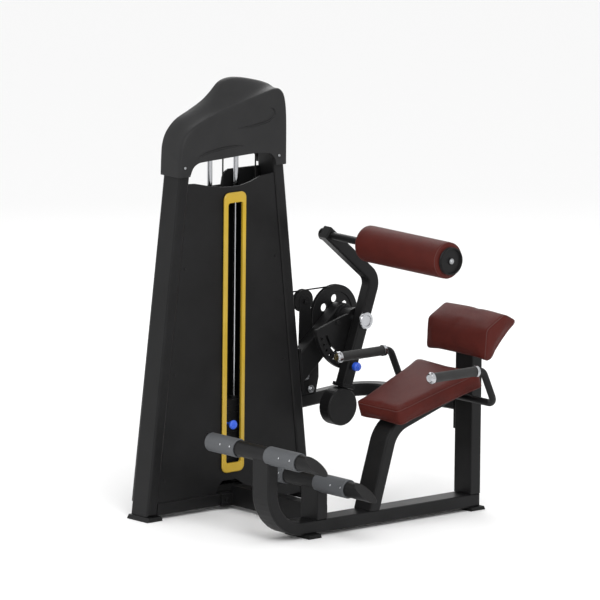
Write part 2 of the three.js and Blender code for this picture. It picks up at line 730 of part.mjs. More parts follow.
// ---------- range sector ----------
const sectorEnds = [187, 266]; // degrees
const sectorArc = Array.from({ length: 17 }, (_, k) =>
  around(PIVOT, SECTOR_R, sectorEnds[0] + ((sectorEnds[1] - sectorEnds[0]) * k) / 16));
const sectorHub = Array.from({ length: 13 }, (_, k) => around(PIVOT, 42, -30 + 15 * k));
const rimBand = [
  ...sectorArc,
  ...Array.from({ length: 17 }, (_, k) =>
    around(PIVOT, SECTOR_R - 9, sectorEnds[1] - ((sectorEnds[1] - sectorEnds[0]) * k) / 16)),
];
const holeAngles = Array.from({ length: HOLES }, (_, k) => ARM_DOWN - HOLE_STEP * k);
const arcSlot = [
  ...Array.from({ length: 9 }, (_, k) => around(PIVOT, 162, 199 + 4 * k)),
  ...Array.from({ length: 9 }, (_, k) => around(PIVOT, 151, 231 - 4 * k)),
];
add(
  "range_sector",
  cut(
    join(
      slab([...sectorArc, ...sectorHub, [PIVOT[0] - 78, PIVOT[1] + 12]], ...SECTOR_X),
      slab(rimBand, SECTOR_X[0] - 3, SECTOR_X[1] + 4),
      hexBolt([PIVOT[0] - 92, PIVOT[1] - 6], SECTOR_X[1] - 1, SECTOR_X[1] + 7),
    ),
    rodX(SHAFT_R + GAP, SECTOR_X[0] - 20, SECTOR_X[1] + 20, PIVOT),
    slab(arcSlot, SECTOR_X[0] - 20, SECTOR_X[1] + 20),
    ...holeAngles.map((deg) =>
      rodX(6.4, SECTOR_X[0] - 20, SECTOR_X[1] + 20, around(PIVOT, HOLE_CIRCLE, deg), 16)),
  ),
  paint(),
);

// ---------- swing arm ----------
const weight = around(PIVOT, WEIGHT_AT, ARM_DOWN);
const armFoot = around(PIVOT, WEIGHT_AT - WEIGHT_R - 2, ARM_DOWN);
const elbow = around(PIVOT, ARM_UP_LENGTH, ARM_DOWN - 180);
const popPin = around(PIVOT, HOLE_CIRCLE, ARM_DOWN);
const legWay = [Math.cos(rad(ARM_DOWN)), Math.sin(rad(ARM_DOWN))];
// A plate across the lower leg, from d0 to d1 beyond the pivot and w to each side.
const onLeg = (d, w) => [
  PIVOT[0] + legWay[0] * d - legWay[1] * w,
  PIVOT[1] + legWay[1] * d + legWay[0] * w,
];
const legPlate = (d0, d1, w) => [onLeg(d0, -w), onLeg(d1, -w), onLeg(d1, w), onLeg(d0, w)];
const collarAt = WEIGHT_AT - WEIGHT_R - 16;
const tongue = legPlate(collarAt, WEIGHT_AT + 20, 20);
add(
  "swing_arm",
  cut(
    join(
      slab(bar([armFoot, elbow, ARM_TOP], TUBE_T, 60, 8), ...ARM_X, 6),
      slab(legPlate(collarAt, collarAt + 14, 31), ARM_X[0] - 6, ARM_X[1] + 6),
      slab(tongue, -479, -463),
      rodX(11, ARM_X[1] - 2, ARM_X[1] + 7, popPin, 20),
    ),
    rodX(SHAFT_R + GAP, ARM_X[0] - 9, ARM_X[1] + 9, PIVOT),
    rodX(5.8, ARM_X[0] - 9, ARM_X[1] + 19, popPin, 20),
    rodX(15 + GAP, ARM_X[0] - 9, ARM_X[1] + 9, ROLLER),
  ),
  paint(),
);
const weightX = [-501, -441];
add(
  "counterweight",
  cut(
    turned(
      [[0, weightX[0]], [WEIGHT_R - 4, weightX[0]], [WEIGHT_R, weightX[0] + 4], [WEIGHT_R, weightX[1] - 4],
        [WEIGHT_R - 4, weightX[1]], [0, weightX[1]]],
      weight, 48,
    ),
    slab(legPlate(collarAt - 5, WEIGHT_AT + 20 + GAP, 20 + GAP), -479 - GAP, -463 + GAP),
  ),
  iron(),
);
add(
  "roller_axle",
  turned(
    [[0, ARM_X[0] - 6], [24, ARM_X[0] - 6], [24, ARM_X[0] - GAP], [15, ARM_X[0] - GAP],
      [15, -ROLLER_HALF - 12], [26, -ROLLER_HALF - 12], [26, -ROLLER_HALF - 1], [15, -ROLLER_HALF - 1],
      [15, ROLLER_HALF - 2], [0, ROLLER_HALF - 2]],
    ROLLER, 24,
  ),
  paint(),
);
add(
  "roller_pad",
  turned(
    [[15 + GAP, -ROLLER_HALF], [ROLLER_R - 14, -ROLLER_HALF], [ROLLER_R - 4, -ROLLER_HALF + 4],
      [ROLLER_R, -ROLLER_HALF + 14], [ROLLER_R, ROLLER_HALF - 14], [ROLLER_R - 4, ROLLER_HALF - 4],
      [ROLLER_R - 14, ROLLER_HALF], [15 + GAP, ROLLER_HALF], [15 + GAP, -ROLLER_HALF]],
    ROLLER, 40,
  ),
  maroon(),
);
add(
  "roller_hub",
  join(
    turned(
      [[0, ROLLER_HALF + GAP], [54, ROLLER_HALF + GAP], [54, ROLLER_HALF + 4], [52, ROLLER_HALF + 6],
        [0, ROLLER_HALF + 6]],
      ROLLER, 40,
    ),
    turned(
      [[0, ROLLER_HALF + 5], [13, ROLLER_HALF + 5], [13, ROLLER_HALF + 11], [0, ROLLER_HALF + 12]],
      ROLLER, 24,
    ),
  ),
  steel(),
);
add(
  "pop_pin",
  join(
    rodX(5.2, SECTOR_X[0] + 2, ARM_X[1] + 12, popPin, 16),
    turned(
      [[0, ARM_X[1] + 8], [11, ARM_X[1] + 8], [17, ARM_X[1] + 13], [17.5, ARM_X[1] + 28],
        [13, ARM_X[1] + 34],
        [0, ARM_X[1] + 35]],
      popPin, 24,
    ),
  ),
  blue(),
);

// ---------- seat frame ----------
const half = TUBE_W / 2;
const railY = 675; // rear end of the floor rail
const PAD_X = [[-318, -151], [26, 205]]; // ends of the rubber pads on each footrest tube
// Room for a footrest tube and for the end of its outer pad.
const footrestHole = (at) => join(
  rodX(FOOTREST_R + GAP, -200, 200, at, 40),
  rodX(FOOTREST_R + 5.5 + GAP, PAD_X[1][0] - GAP, 200, at, 40),
);
add(
  "front_post_and_rail",
  cut(
    slab(
      bar(
        [[FOOTREST_UP[0], FOOTREST_UP[1] - 8], [FOOTREST_UP[0], FOOT_H + 25], [railY, FOOT_H + 25]],
        TUBE_T, 157, 12,
      ),
      -half, half, EDGE_R,
    ),
    footrestHole(FOOTREST_UP),
  ),
  paint(),
);
add(
  "second_post",
  cut(
    slab(
      [[FOOTREST_LOW[0] - 25, railTop + GAP], [FOOTREST_LOW[0] + 25, railTop + GAP],
        [FOOTREST_LOW[0] + 25, FOOTREST_LOW[1] - 6], [FOOTREST_LOW[0] - 25, FOOTREST_LOW[1] - 6]],
      -half, half, 4,
    ),
    footrestHole(FOOTREST_LOW),
  ),
  paint(),
);
const tilt = [Math.cos(rad(SEAT_TILT)), Math.sin(rad(SEAT_TILT))];
const onSeat = (s, n) => [
  SEAT_FRONT[0] + tilt[0] * s - tilt[1] * n,
  SEAT_FRONT[1] + tilt[1] * s + tilt[0] * n,
];
const panGap = 6 + 2 * GAP; // pad pan and its gaps, under the pad
const armAxis = -panGap - 25;
const rearFace = 625;
const armEnd = (rearFace - GAP - onSeat(0, armAxis)[0]) / tilt[0];
add(
  "seat_post",
  cut(
    slab(
      bar([[126, railTop - 24], onSeat(25, armAxis), onSeat(armEnd + 20, armAxis)], TUBE_T, 120, 10),
      -half, half, EDGE_R,
    ),
    box(-80, 80, 0, 300, 0, railTop + GAP),
    box(-80, 80, rearFace - GAP, rearFace + 80, 300, 700),
  ),
  paint(),
);
// Back pad outline: lower front, upper front, top, rear; the rear face lies on the pad plate.
const BACK = [[579, 612], [592, 738], [684, 790], [754, 757], [612, 612]];
const slope = Math.atan2(BACK[3][1] - BACK[4][1], BACK[3][0] - BACK[4][0]);
const onBack = (t, n) => [
  BACK[4][0] + Math.cos(slope) * t + Math.sin(slope) * n,
  BACK[4][1] + Math.sin(slope) * t - Math.cos(slope) * n,
];
const backGap = 6 + 2 * GAP;
const uprightTopAt = (y) => {
  const [y0, z0] = onBack(0, backGap);
  return z0 + (y - y0) * Math.tan(slope);
};
add(
  "rear_upright",
  slab(
    [[rearFace, railTop + GAP], [railY, railTop + GAP], [railY, uprightTopAt(railY)],
      [rearFace, uprightTopAt(rearFace)]],
    -half, half, 4,
  ),
  paint(),
);
const frontFoot = [[-222, 0], [-158, 0], [-162, FOOT_H - GAP], [-218, FOOT_H - GAP]];
add("front_foot", slab(frontFoot, -72, 72), black());
add("rear_foot", slab([[622, 0], [696, 0], [690, FOOT_H - GAP], [628, FOOT_H - GAP]], -56, 56), black());
const beamY = [-72, -22];
add(
  "cross_beam",
  join(
    slab(
      [[beamY[0], FOOT_H], [beamY[1], FOOT_H], [beamY[1], 92], [beamY[0], 92]],
      TOWER_FRONT + GAP, -half - GAP, 5,
    ),
    box(TOWER_FRONT + GAP, TOWER_FRONT + 12, beamY[0] - 52, beamY[1] + 6, FOOT_H, railTop - 2),
    hexBolt([beamY[0] - 28, FOOT_H + 24], TOWER_FRONT + 11, TOWER_FRONT + 22, 11),
  ),
  paint(),
);
const beamStart = outerRight(369) + 1;
const beamLine = bend(
  [
    new THREE.Vector3(-619, beamStart, 369),
    new THREE.Vector3(-619, 650, 391),
    new THREE.Vector3(-half - 10, 650, 411),
  ],
  130,
  12,
);
add(
  "lateral_beam",
  cut(
    join(
      sweep(beamLine, squareSection(TUBE_T, TUBE_T, 6)),
      box(-half - 12, -half - GAP, 629, 671, 312, 440),
    ),
    slab(
      [[outerRight(250) - 90, 250], [outerRight(250) + GAP, 250], [outerRight(500) + GAP, 500],
        [outerRight(500) - 90, 500]],
      -700, -540,
    ),
  ),
  paint(),
);
const plateUnder = (y) =>
  PIVOT[1] + (y - PIVOT[0]) * Math.tan(rad(rise)) - TUBE_W / 2 / Math.cos(rad(rise)) - 0.6;
const plateOver = (y) => 369 + 26 + ((y - beamStart) * 22) / (650 - beamStart);
add(
  "gusset_plate",
  join(
    slab(
      [[308, plateOver(308)], [384, plateOver(384)], [398, 461], [396, plateUnder(396)],
        [308, plateUnder(308)]],
      -607, -595,
    ),
    hexBolt([346, 466], -596, -587),
  ),
  steel(),
);

// ---------- pads ----------
function onPlane(shape, thick, r, steps) {
  return new THREE.ExtrudeGeometry(shape, {
    depth: thick - 2 * r,
    bevelEnabled: r > 0,
    bevelThickness: r,
    bevelSize: r,
    bevelOffset: -r,
    bevelSegments: steps,
    curveSegments: 6,
  }).translate(0, 0, r);
}
const seatPlane = (n) => {
  const [y, z] = onSeat(0, n);
  return new THREE.Matrix4().makeRotationX(rad(SEAT_TILT)).setPosition(0, y, z);
};
function trapezoid(front, back, s0, s1, r) {
  const s = new THREE.Shape();
  const [f, b] = [front / 2, back / 2];
  s.moveTo(-f + r, s0);
  s.lineTo(f - r, s0);
  s.quadraticCurveTo(f, s0, f + r * 0.12, s0 + r);
  s.lineTo(b - r * 0.12, s1 - r);
  s.quadraticCurveTo(b, s1, b - r, s1);
  s.lineTo(-b + r, s1);
  s.quadraticCurveTo(-b, s1, -b + r * 0.12, s1 - r);
  s.lineTo(-f - r * 0.12, s0 + r);
  s.quadraticCurveTo(-f, s0, -f + r, s0);
  return s;
}
add(
  "seat_pad",
  solid(
    onPlane(trapezoid(SEAT_W[0], SEAT_W[1], 0, SEAT_LENGTH, 18), SEAT_THICK, 7, 3)
      .applyMatrix4(seatPlane(0)),
  ),
  maroon(),
);
add(
  "seat_pan",
  solid(onPlane(trapezoid(190, 240, 30, 370, 14), 6, 0, 1).applyMatrix4(seatPlane(-6 - GAP))),
  paint(),
);
// A closed outline with each corner turned by r, in four short sides.
function roundCorners(points, r) {
  const n = points.length;
  const at = (i) => new THREE.Vector2(...points[(i + n) % n]);
  const outline = [];
  for (let i = 0; i < n; i++) {
    const here = at(i);
    const a = at(i - 1).sub(here).setLength(r).add(here);
    const b = at(i + 1).sub(here).setLength(r).add(here);
    const curve = new THREE.QuadraticBezierCurve(a, here, b);
    outline.push(...curve.getPoints(4).map((p) => [p.x, p.y]));
  }
  return outline;
}
add("back_pad", slab(roundCorners([...BACK].reverse(), 15), -BACK_W / 2, BACK_W / 2, 3, 2), maroon());
add(
  "back_plate",
  slab([onBack(34, GAP), onBack(34, 6 + GAP), onBack(166, 6 + GAP), onBack(166, GAP)], -70, 70),
  paint(),
);

// ---------- grips ----------
const handleFoot = [545, 468];
const gripY = [215, 448];
const gripZ = 608;
for (const [name, side] of [["tower_side", -1], ["outer_side", 1]]) {
  const v = (x, y, z) => new THREE.Vector3(side * x, y, z);
  const line = bend(
    [v(half + GAP, ...handleFoot), v(HANDLE_X, ...handleFoot), v(HANDLE_X, 482, gripZ),
      v(HANDLE_X, gripY[0] + 14, gripZ)],
    34,
    6,
  );
  add("handle_" + name, sweep(line, roundSection(HANDLE_R, 16)), paint());
  const turnedY = (profile, sides = 24) => {
    const g = new THREE.LatheGeometry(profile.map(([r, y]) => new THREE.Vector2(r, y)), sides);
    g.translate(side * HANDLE_X, 0, gripZ);
    const body = solid(g);
    if (body.volume() > 0) return body;
    const back = new THREE.LatheGeometry(
      [...profile].reverse().map(([r, y]) => new THREE.Vector2(r, y)),
      sides,
    );
    return solid(back.translate(side * HANDLE_X, 0, gripZ));
  };
  const sleeve = HANDLE_R + GAP;
  add(
    "grip_core_" + name,
    turnedY([[0, gripY[0] - 9], [14, gripY[0] - 9], [20, gripY[0] - 5], [22.5, gripY[0] + 2],
      [22.5, gripY[0] + 8],
      [sleeve + 1.2, gripY[0] + 8], [sleeve + 1.2, gripY[1] - 8], [22, gripY[1] - 8], [22, gripY[1] + 4],
      [sleeve, gripY[1] + 4], [sleeve, gripY[0] + 10], [0, gripY[0] + 10]]),
    chrome(),
  );
  const inner = sleeve + 1.2 + GAP;
  add(
    "grip_" + name,
    turnedY([[inner, gripY[0] + 8 + GAP], [GRIP_R, gripY[0] + 8 + GAP], [GRIP_R, gripY[1] - 8 - GAP],
      [inner, gripY[1] - 8 - GAP], [inner, gripY[0] + 8 + GAP]]),
    black(),
  );
}

// ---------- footrests ----------
const REST = { top: [-340, 244], low: [-264, 354] }; // slanted ends: top and bottom lengths
for (const [name, [y, z]] of [["upper", FOOTREST_UP], ["lower", FOOTREST_LOW]]) {
  const r = FOOTREST_R;
  add("footrest_" + name, solid(uprightBlock(y, z, r)).intersect(rodX(r, -400, 400, [y, z], 40)), paint());
  PAD_X.forEach(([x0, x1], k) => {
    add(
      `foot_pad_${name}_${k ? "outer" : "tower"}`,
      turned(
        [[r + GAP, x0], [r + 4, x0], [r + 5.5, x0 + 3], [r + 5.5, x1 - 3], [r + 4, x1],
          [r + GAP, x1], [r + GAP, x0]],
        [y, z], 40,
      ),
      rubber(),
    );
  });
}

// The block between the two slanted end cuts of a footrest tube.
function uprightBlock(y, z, r) {
  const ring = [[REST.low[0], z - r], [REST.low[1], z - r], [REST.top[1], z + r], [REST.top[0], z + r]];
  const deep = 60;
  const points = [
    ...ring.map(([x, h]) => new THREE.Vector3(x, y - deep, h)),
    ...ring.map(([x, h]) => new THREE.Vector3(x, y + deep, h)),
  ];
  const g = new THREE.BufferGeometry().setFromPoints(points);
  g.setIndex([
    0, 1, 2, 0, 2, 3, 4, 6, 5, 4, 7, 6, 0, 4, 5, 0, 5, 1,
    1, 5, 6, 1, 6, 2, 2, 6, 7, 2, 7, 3, 3, 7, 4, 3, 4, 0,
  ]);
  return g;
}

// ---------- origin ----------
group.updateMatrixWorld(true);
const size = new THREE.Box3().setFromObject(group);
const centre = size.getCenter(new THREE.Vector3());
group.position.set(-centre.x, -centre.y, -size.min.z);

export default group;
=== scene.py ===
# %% [markdown]
# # A seated back-extension machine
# The machine is a weight-stack tower joined by a beam to a tilted seat. A padded roller on a
# counterweighted arm is pushed back by the user, a cam on the arm's shaft pulls a cable, and the cable
# lifts the stack. The frame below comes in as fixed solids, in metres. Everything in this file dresses
# that frame: finishes for the metal, rubber and plastic, sewn cushions in place of plain pads, and the
# screws and seams that a maker would see on the real machine.

import json
import math

import bmesh
import bpy
from mathutils import Matrix, Vector
from mathutils.bvhtree import BVHTree


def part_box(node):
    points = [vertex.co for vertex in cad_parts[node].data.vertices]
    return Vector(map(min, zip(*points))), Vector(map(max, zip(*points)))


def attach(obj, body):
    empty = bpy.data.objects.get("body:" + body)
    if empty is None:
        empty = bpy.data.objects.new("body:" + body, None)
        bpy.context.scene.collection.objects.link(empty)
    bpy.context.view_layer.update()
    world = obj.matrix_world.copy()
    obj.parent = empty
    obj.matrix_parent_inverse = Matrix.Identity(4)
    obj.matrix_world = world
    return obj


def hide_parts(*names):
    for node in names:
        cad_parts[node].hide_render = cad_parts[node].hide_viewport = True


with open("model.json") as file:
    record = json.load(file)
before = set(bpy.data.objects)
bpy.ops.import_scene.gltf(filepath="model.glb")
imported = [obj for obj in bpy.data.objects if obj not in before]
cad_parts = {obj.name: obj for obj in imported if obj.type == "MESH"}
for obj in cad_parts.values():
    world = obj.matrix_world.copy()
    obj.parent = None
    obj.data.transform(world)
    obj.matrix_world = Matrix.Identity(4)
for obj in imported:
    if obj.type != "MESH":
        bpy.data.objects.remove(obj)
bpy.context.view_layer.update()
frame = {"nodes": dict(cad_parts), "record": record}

# %% [markdown]
# ## One way to say where things are
# Drawings of such machines are in millimetres about the seat's centre plane. A small function turns
# those numbers into the frame's metres, so that every piece below can quote the drawing. The shift
# between the two is measured on one foot plate, so it stays right if the frame is made again. A second
# function follows the tilt of the seat, because the pad and its seams all lie in that tilted plane.

# %% Places on the machine
# The low corner of the tower's front foot plate in the drawing, in metres.
FOOT_CORNER = Vector((-0.673, -0.509, 0.0))
SEAT_PLANE_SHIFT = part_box("tower_foot_front_side")[0] - FOOT_CORNER
SEAT_PLANE_SHIFT.z = 0  # the drawing and the frame both stand on the floor


def at(x, y, z):
    """A drawing point in millimetres, as a point of the frame in metres."""
    return Vector((x, y, z)) / 1000 + SEAT_PLANE_SHIFT


SEAT_TILT = math.radians(18)
SEAT_FRONT = (193, 397)  # along the machine, and above the floor


def on_seat(across, along, up):
    """A point of the tilted seat: across, from its front edge back, and up from its underside."""
    y = SEAT_FRONT[0] + along * math.cos(SEAT_TILT) - up * math.sin(SEAT_TILT)
    z = SEAT_FRONT[1] + along * math.sin(SEAT_TILT) + up * math.cos(SEAT_TILT)
    return at(across, y, z)


print("drawing origin", [round(v, 5) for v in SEAT_PLANE_SHIFT])
print("seat front edge", [round(v, 3) for v in on_seat(0, 0, 0)])

# %% [markdown]
# ## Studio: camera
# A product camera stands far off with a long lens, so that the tower's upright edges stay parallel.
# The view is about 49 degrees round from the front of the seat and 11 degrees above the floor, and the
# camera aims well above the seat, so that the whole tower is in the frame.

# %% Camera
VIEW_ROUND, VIEW_ABOVE, VIEW_ROLL = math.radians(49.1), math.radians(10.6), 0.00995
CAMERA_FAR, FIELD_WIDE, SENSOR_WIDE = 42.0, 2.308, 36
back = Vector((
    math.sin(VIEW_ROUND) * math.cos(VIEW_ABOVE),
    -math.cos(VIEW_ROUND) * math.cos(VIEW_ABOVE),
    math.sin(VIEW_ABOVE),
))
level = Vector((math.cos(VIEW_ROUND), math.sin(VIEW_ROUND), 0))
right = (level + back.cross(level) * VIEW_ROLL).normalized()
up = back.cross(right)
AIM_RIGHT, AIM_UP = -0.1559, 0.8829
aim = at(0, 0, 0) + right * AIM_RIGHT + up * AIM_UP

camera = bpy.data.objects.new("camera", bpy.data.cameras.new("camera"))
bpy.context.scene.collection.objects.link(camera)
camera.data.sensor_width = SENSOR_WIDE
camera.data.lens = SENSOR_WIDE * CAMERA_FAR / FIELD_WIDE
camera.data.clip_start, camera.data.clip_end = 1, 200
camera.matrix_world = Matrix((right, up, back)).transposed().to_4x4()
camera.location = aim + back * CAMERA_FAR
bpy.context.scene.camera = camera
print("lens", round(camera.data.lens), "mm, aim", [round(v, 3) for v in aim])

# %% [markdown]
# ## Studio: floor and light
# The floor is one big pale disc. A bright, even sky does most of the work, as a white tent does in a
# studio. Three large soft panels add shape: a strong one over the camera's shoulder, a weak one low
# from the side of the footrests, and one behind the tower that glances off the tops of the pads.

# %% Floor, sky and light panels
def studio_finish(name, color, rough):
    """A plain material, for the studio only."""
    made = bpy.data.materials.new(name)
    made.use_nodes = True
    shader = made.node_tree.nodes["Principled BSDF"]
    shader.inputs["Base Color"].default_value = (*color, 1)
    shader.inputs["Roughness"].default_value = rough
    return made


floor_mesh = bpy.data.meshes.new("floor")
FLOOR_R, FLOOR_DROP, FLOOR_SIDES = 30, 0.0006, 96
floor_turns = [math.tau * i / FLOOR_SIDES for i in range(FLOOR_SIDES)]
floor_edge = [(FLOOR_R * math.cos(a), FLOOR_R * math.sin(a), -FLOOR_DROP) for a in floor_turns]
floor_mesh.from_pydata(floor_edge, [], [list(range(FLOOR_SIDES))])
floor = bpy.data.objects.new("floor", floor_mesh)
bpy.context.scene.collection.objects.link(floor)
floor_mesh.materials.append(studio_finish("studio_floor", (0.93, 0.93, 0.93), 0.9))

world = bpy.data.worlds.new("studio")
world.use_nodes = True
world.node_tree.nodes["Background"].inputs["Color"].default_value = (1, 1, 1, 1)
world.node_tree.nodes["Background"].inputs["Strength"].default_value = 1.0
bpy.context.scene.world = world
bpy.context.scene.view_settings.view_transform = "Standard"


MACHINE_MIDDLE = Vector((0, 0, 0.8))


def panel(name, place, wide, watts):
    """A soft square light panel that faces the middle of the machine: its side in metres, its power."""
    lamp = bpy.data.lights.new(name, "AREA")
    lamp.shape, lamp.size, lamp.energy = "SQUARE", wide, watts
    obj = bpy.data.objects.new(name, lamp)
    bpy.context.scene.collection.objects.link(obj)
    obj.location = place
    obj.rotation_euler = (MACHINE_MIDDLE - Vector(place)).to_track_quat("-Z", "Y").to_euler()


panel("key_panel", (3.6, -2.0, 4.2), 2.4, 130)
panel("side_panel", (-1.4, -4.6, 2.6), 2.0, 20)
panel("rim_panel", (-4.2, 2.6, 3.6), 2.6, 60)

# %% [markdown]
# ## Building materials
# Every finish below is made of nodes. One helper adds a node and fills its inputs, either with a
# number or with the output of another node. Another starts a shared effect: a node group with named
# inputs and outputs. A group gives out only colours, masks, heights and normals, and each material
# keeps its own shader.

# %% Helpers for nodes
def put(tree, kind, inputs=None, **settings):
    """Adds a node. Inputs are named or numbered, and hold a value or another node's output."""
    node = tree.nodes.new(kind)
    for key, value in settings.items():
        setattr(node, key, value)
    for key, value in (inputs or {}).items():
        if isinstance(value, bpy.types.NodeSocket):
            tree.links.new(value, node.inputs[key])
        else:
            node.inputs[key].default_value = value
    return node


def math_node(tree, operation, a, b=0.0, c=0.0, clamp=False):
    """One sum on up to three numbers."""
    return put(tree, "ShaderNodeMath", {0: a, 1: b, 2: c}, operation=operation, use_clamp=clamp).outputs[0]


def blend_colors(tree, share, a, b):
    """Colour a, with a share of colour b mixed in."""
    return put(tree, "ShaderNodeMix", {0: share, 6: a, 7: b}, data_type="RGBA").outputs[2]


def ramp(tree, value, low, high, to_low=0.0, to_high=1.0):
    """Stretches the part of a value from low to high over a new range."""
    inputs = {"Value": value, "From Min": low, "From Max": high, "To Min": to_low, "To Max": to_high}
    return put(tree, "ShaderNodeMapRange", inputs).outputs["Result"]


def group(name, inputs, outputs):
    """Starts a shared node group, and returns it with its input sockets by name."""
    tree = bpy.data.node_groups.new(name, "ShaderNodeTree")
    kinds = {"value": "NodeSocketFloat", "vector": "NodeSocketVector"}
    for label, value in inputs.items():
        tree.interface.new_socket(label, in_out="INPUT", socket_type=kinds["value"]).default_value = value
    for label, kind in outputs.items():
        tree.interface.new_socket(label, in_out="OUTPUT", socket_type=kinds[kind])
    return tree, put(tree, "NodeGroupInput").outputs


def give(tree, sockets):
    """Ends a group: connects its results to its output sockets."""
    end = put(tree, "NodeGroupOutput")
    for label, socket in sockets.items():
        tree.links.new(socket, end.inputs[label])
    print("node group", tree.name, "gives", ", ".join(sockets))


# %% [markdown]
# ## Shared effect: broken edges
# Welded tube and moulded plastic never have a knife edge, and paint rubs thin where hands and boots
# touch a corner. The Bevel node rounds the shading of an edge with no new geometry. How far that
# normal turns away from the true one tells how near the edge is, which makes the wear mask.

# %% Group: broken edges
tree, given = group(
    "Broken Edges",
    {"Radius": 0.002, "Wear Grain": 260.0},
    {"Normal": "vector", "Wear": "value"},
)
soft_edge = put(tree, "ShaderNodeBevel", {"Radius": given["Radius"]}, samples=4).outputs[0]
true_normal = put(tree, "ShaderNodeNewGeometry").outputs["Normal"]
turned = put(tree, "ShaderNodeVectorMath", {0: soft_edge, 1: true_normal}, operation="DOT_PRODUCT")
near_edge = ramp(tree, turned.outputs["Value"], 0.995, 0.80)
place = put(tree, "ShaderNodeTexCoord").outputs["Object"]
patchy = put(tree, "ShaderNodeTexNoise", {"Vector": place, "Scale": given["Wear Grain"], "Detail": 3.0})
worn = math_node(tree, "MULTIPLY", near_edge, ramp(tree, patchy.outputs[0], 0.42, 0.62), clamp=True)
give(tree, {"Normal": soft_edge, "Wear": worn})

# %% [markdown]
# ## Shared effect: sprayed surface
# Powder coat melts into a skin with a faint orange peel, and moulded plastic copies the fine spark
# texture of its mould. Both are a small bumpy noise, so one group serves both at different sizes. A
# second, slow noise gives the soft patches that handling and cleaning leave in the sheen.

# %% Group: sprayed surface
tree, given = group(
    "Sprayed Surface",
    {"Peel Size": 700.0, "Patch Size": 5.0},
    {"Height": "value", "Patch": "value"},
)
place = put(tree, "ShaderNodeTexCoord").outputs["Object"]
fine = {"Vector": place, "Scale": given["Peel Size"], "Detail": 2.0, "Roughness": 0.45}
peel = put(tree, "ShaderNodeTexNoise", fine)
slow = {"Vector": place, "Scale": given["Patch Size"], "Detail": 4.0, "Roughness": 0.6}
patch = put(tree, "ShaderNodeTexNoise", slow)
give(tree, {"Height": peel.outputs[0], "Patch": ramp(tree, patch.outputs[0], 0.32, 0.68)})

# %% [markdown]
# ## Shared effect: hide grain
# Upholstery vinyl is embossed with small rounded pebbles between fine valleys. A Voronoi pattern's
# distance to the nearest border is exactly that. The cells are pushed about by a noise, because
# regular cells look like reptile skin. The group also gives a slow tone that shifts the colour a little.

# %% Group: hide grain
tree, given = group(
    "Hide Grain",
    {"Pebble Size": 620.0, "Fold Size": 16.0},
    {"Height": "value", "Valley": "value", "Tone": "value"},
)
place = put(tree, "ShaderNodeTexCoord").outputs["Object"]
drift = put(tree, "ShaderNodeTexNoise", {"Vector": place, "Scale": 190.0, "Detail": 2.0})
PUSH = 0.0022
shove = {0: drift.outputs[1], 1: (PUSH, PUSH, PUSH), 2: place}
pushed = put(tree, "ShaderNodeVectorMath", shove, operation="MULTIPLY_ADD").outputs[0]
cell_inputs = {"Vector": pushed, "Scale": given["Pebble Size"]}
cells = put(tree, "ShaderNodeTexVoronoi", cell_inputs, feature="DISTANCE_TO_EDGE")
pebble = ramp(tree, cells.outputs["Distance"], 0.0, 0.32)
fold_inputs = {"Vector": place, "Scale": given["Fold Size"], "Detail": 5.0, "Distortion": 0.6}
folds = put(tree, "ShaderNodeTexNoise", fold_inputs)
height = math_node(tree, "MULTIPLY_ADD", folds.outputs[0], 0.8, pebble)
valley = math_node(tree, "SUBTRACT", 1.0, pebble, clamp=True)
give(tree, {"Height": height, "Valley": valley, "Tone": ramp(tree, folds.outputs[0], 0.3, 0.7)})

# %% [markdown]
# ## Shared effect: turned and moulded rings
# Turned bolt heads carry fine rings from the lathe, and grips and footrests are moulded with small ribs
# so that hands and boots hold. Both are waves along one axis. The group takes how many waves there are
# for each metre along X and along Y, so the same group serves pieces that lie either way.

# %% Group: rings
tree, given = group(
    "Rings",
    {"Along X": 0.0, "Along Y": 0.0, "Softness": 0.5},
    {"Height": "value", "Groove": "value"},
)
place = put(tree, "ShaderNodeTexCoord").outputs["Object"]
parts = put(tree, "ShaderNodeSeparateXYZ", {0: place}).outputs
along_y = math_node(tree, "MULTIPLY", parts[1], given["Along Y"])
along = math_node(tree, "MULTIPLY_ADD", parts[0], given["Along X"], along_y)
wave = math_node(tree, "SINE", math_node(tree, "MULTIPLY", along, math.tau))
crest = ramp(tree, wave, -0.6, given["Softness"])
give(tree, {"Height": crest, "Groove": math_node(tree, "SUBTRACT", 1.0, crest, clamp=True)})

# %% [markdown]
# ## Finish: sprayed steel
# All the tubes and brackets are charcoal powder coat: almost black, satin, a little lighter where an
# edge has rubbed. The recipe is a function, because the sheet-metal covers, the cast plates and the
# moulded cap and the rubber feet are the same idea with other numbers.

# %% Finish: sprayed steel, cast iron and moulded plastic
def start(name, **fixed):
    """A new material: its node tree and its shader, with the fixed numbers set on the shader."""
    made = bpy.data.materials.new(name)
    made.use_nodes = True
    shader = made.node_tree.nodes["Principled BSDF"]
    for label, value in fixed.items():
        shader.inputs[label.replace("_", " ")].default_value = value
    return made, made.node_tree, shader


def use(tree, name, **inputs):
    """Places a shared group in a material, with this material's own numbers."""
    node = put(tree, "ShaderNodeGroup", node_tree=bpy.data.node_groups[name])
    for label, value in inputs.items():
        node.inputs[label.replace("_", " ")].default_value = value
    return node.outputs


def bump(tree, height, depth, normal=None):
    """Turns a height into a normal; depth is in metres."""
    inputs = {"Height": height, "Distance": depth, "Strength": 1.0}
    if normal is not None:
        inputs["Normal"] = normal
    return put(tree, "ShaderNodeBump", inputs).outputs["Normal"]


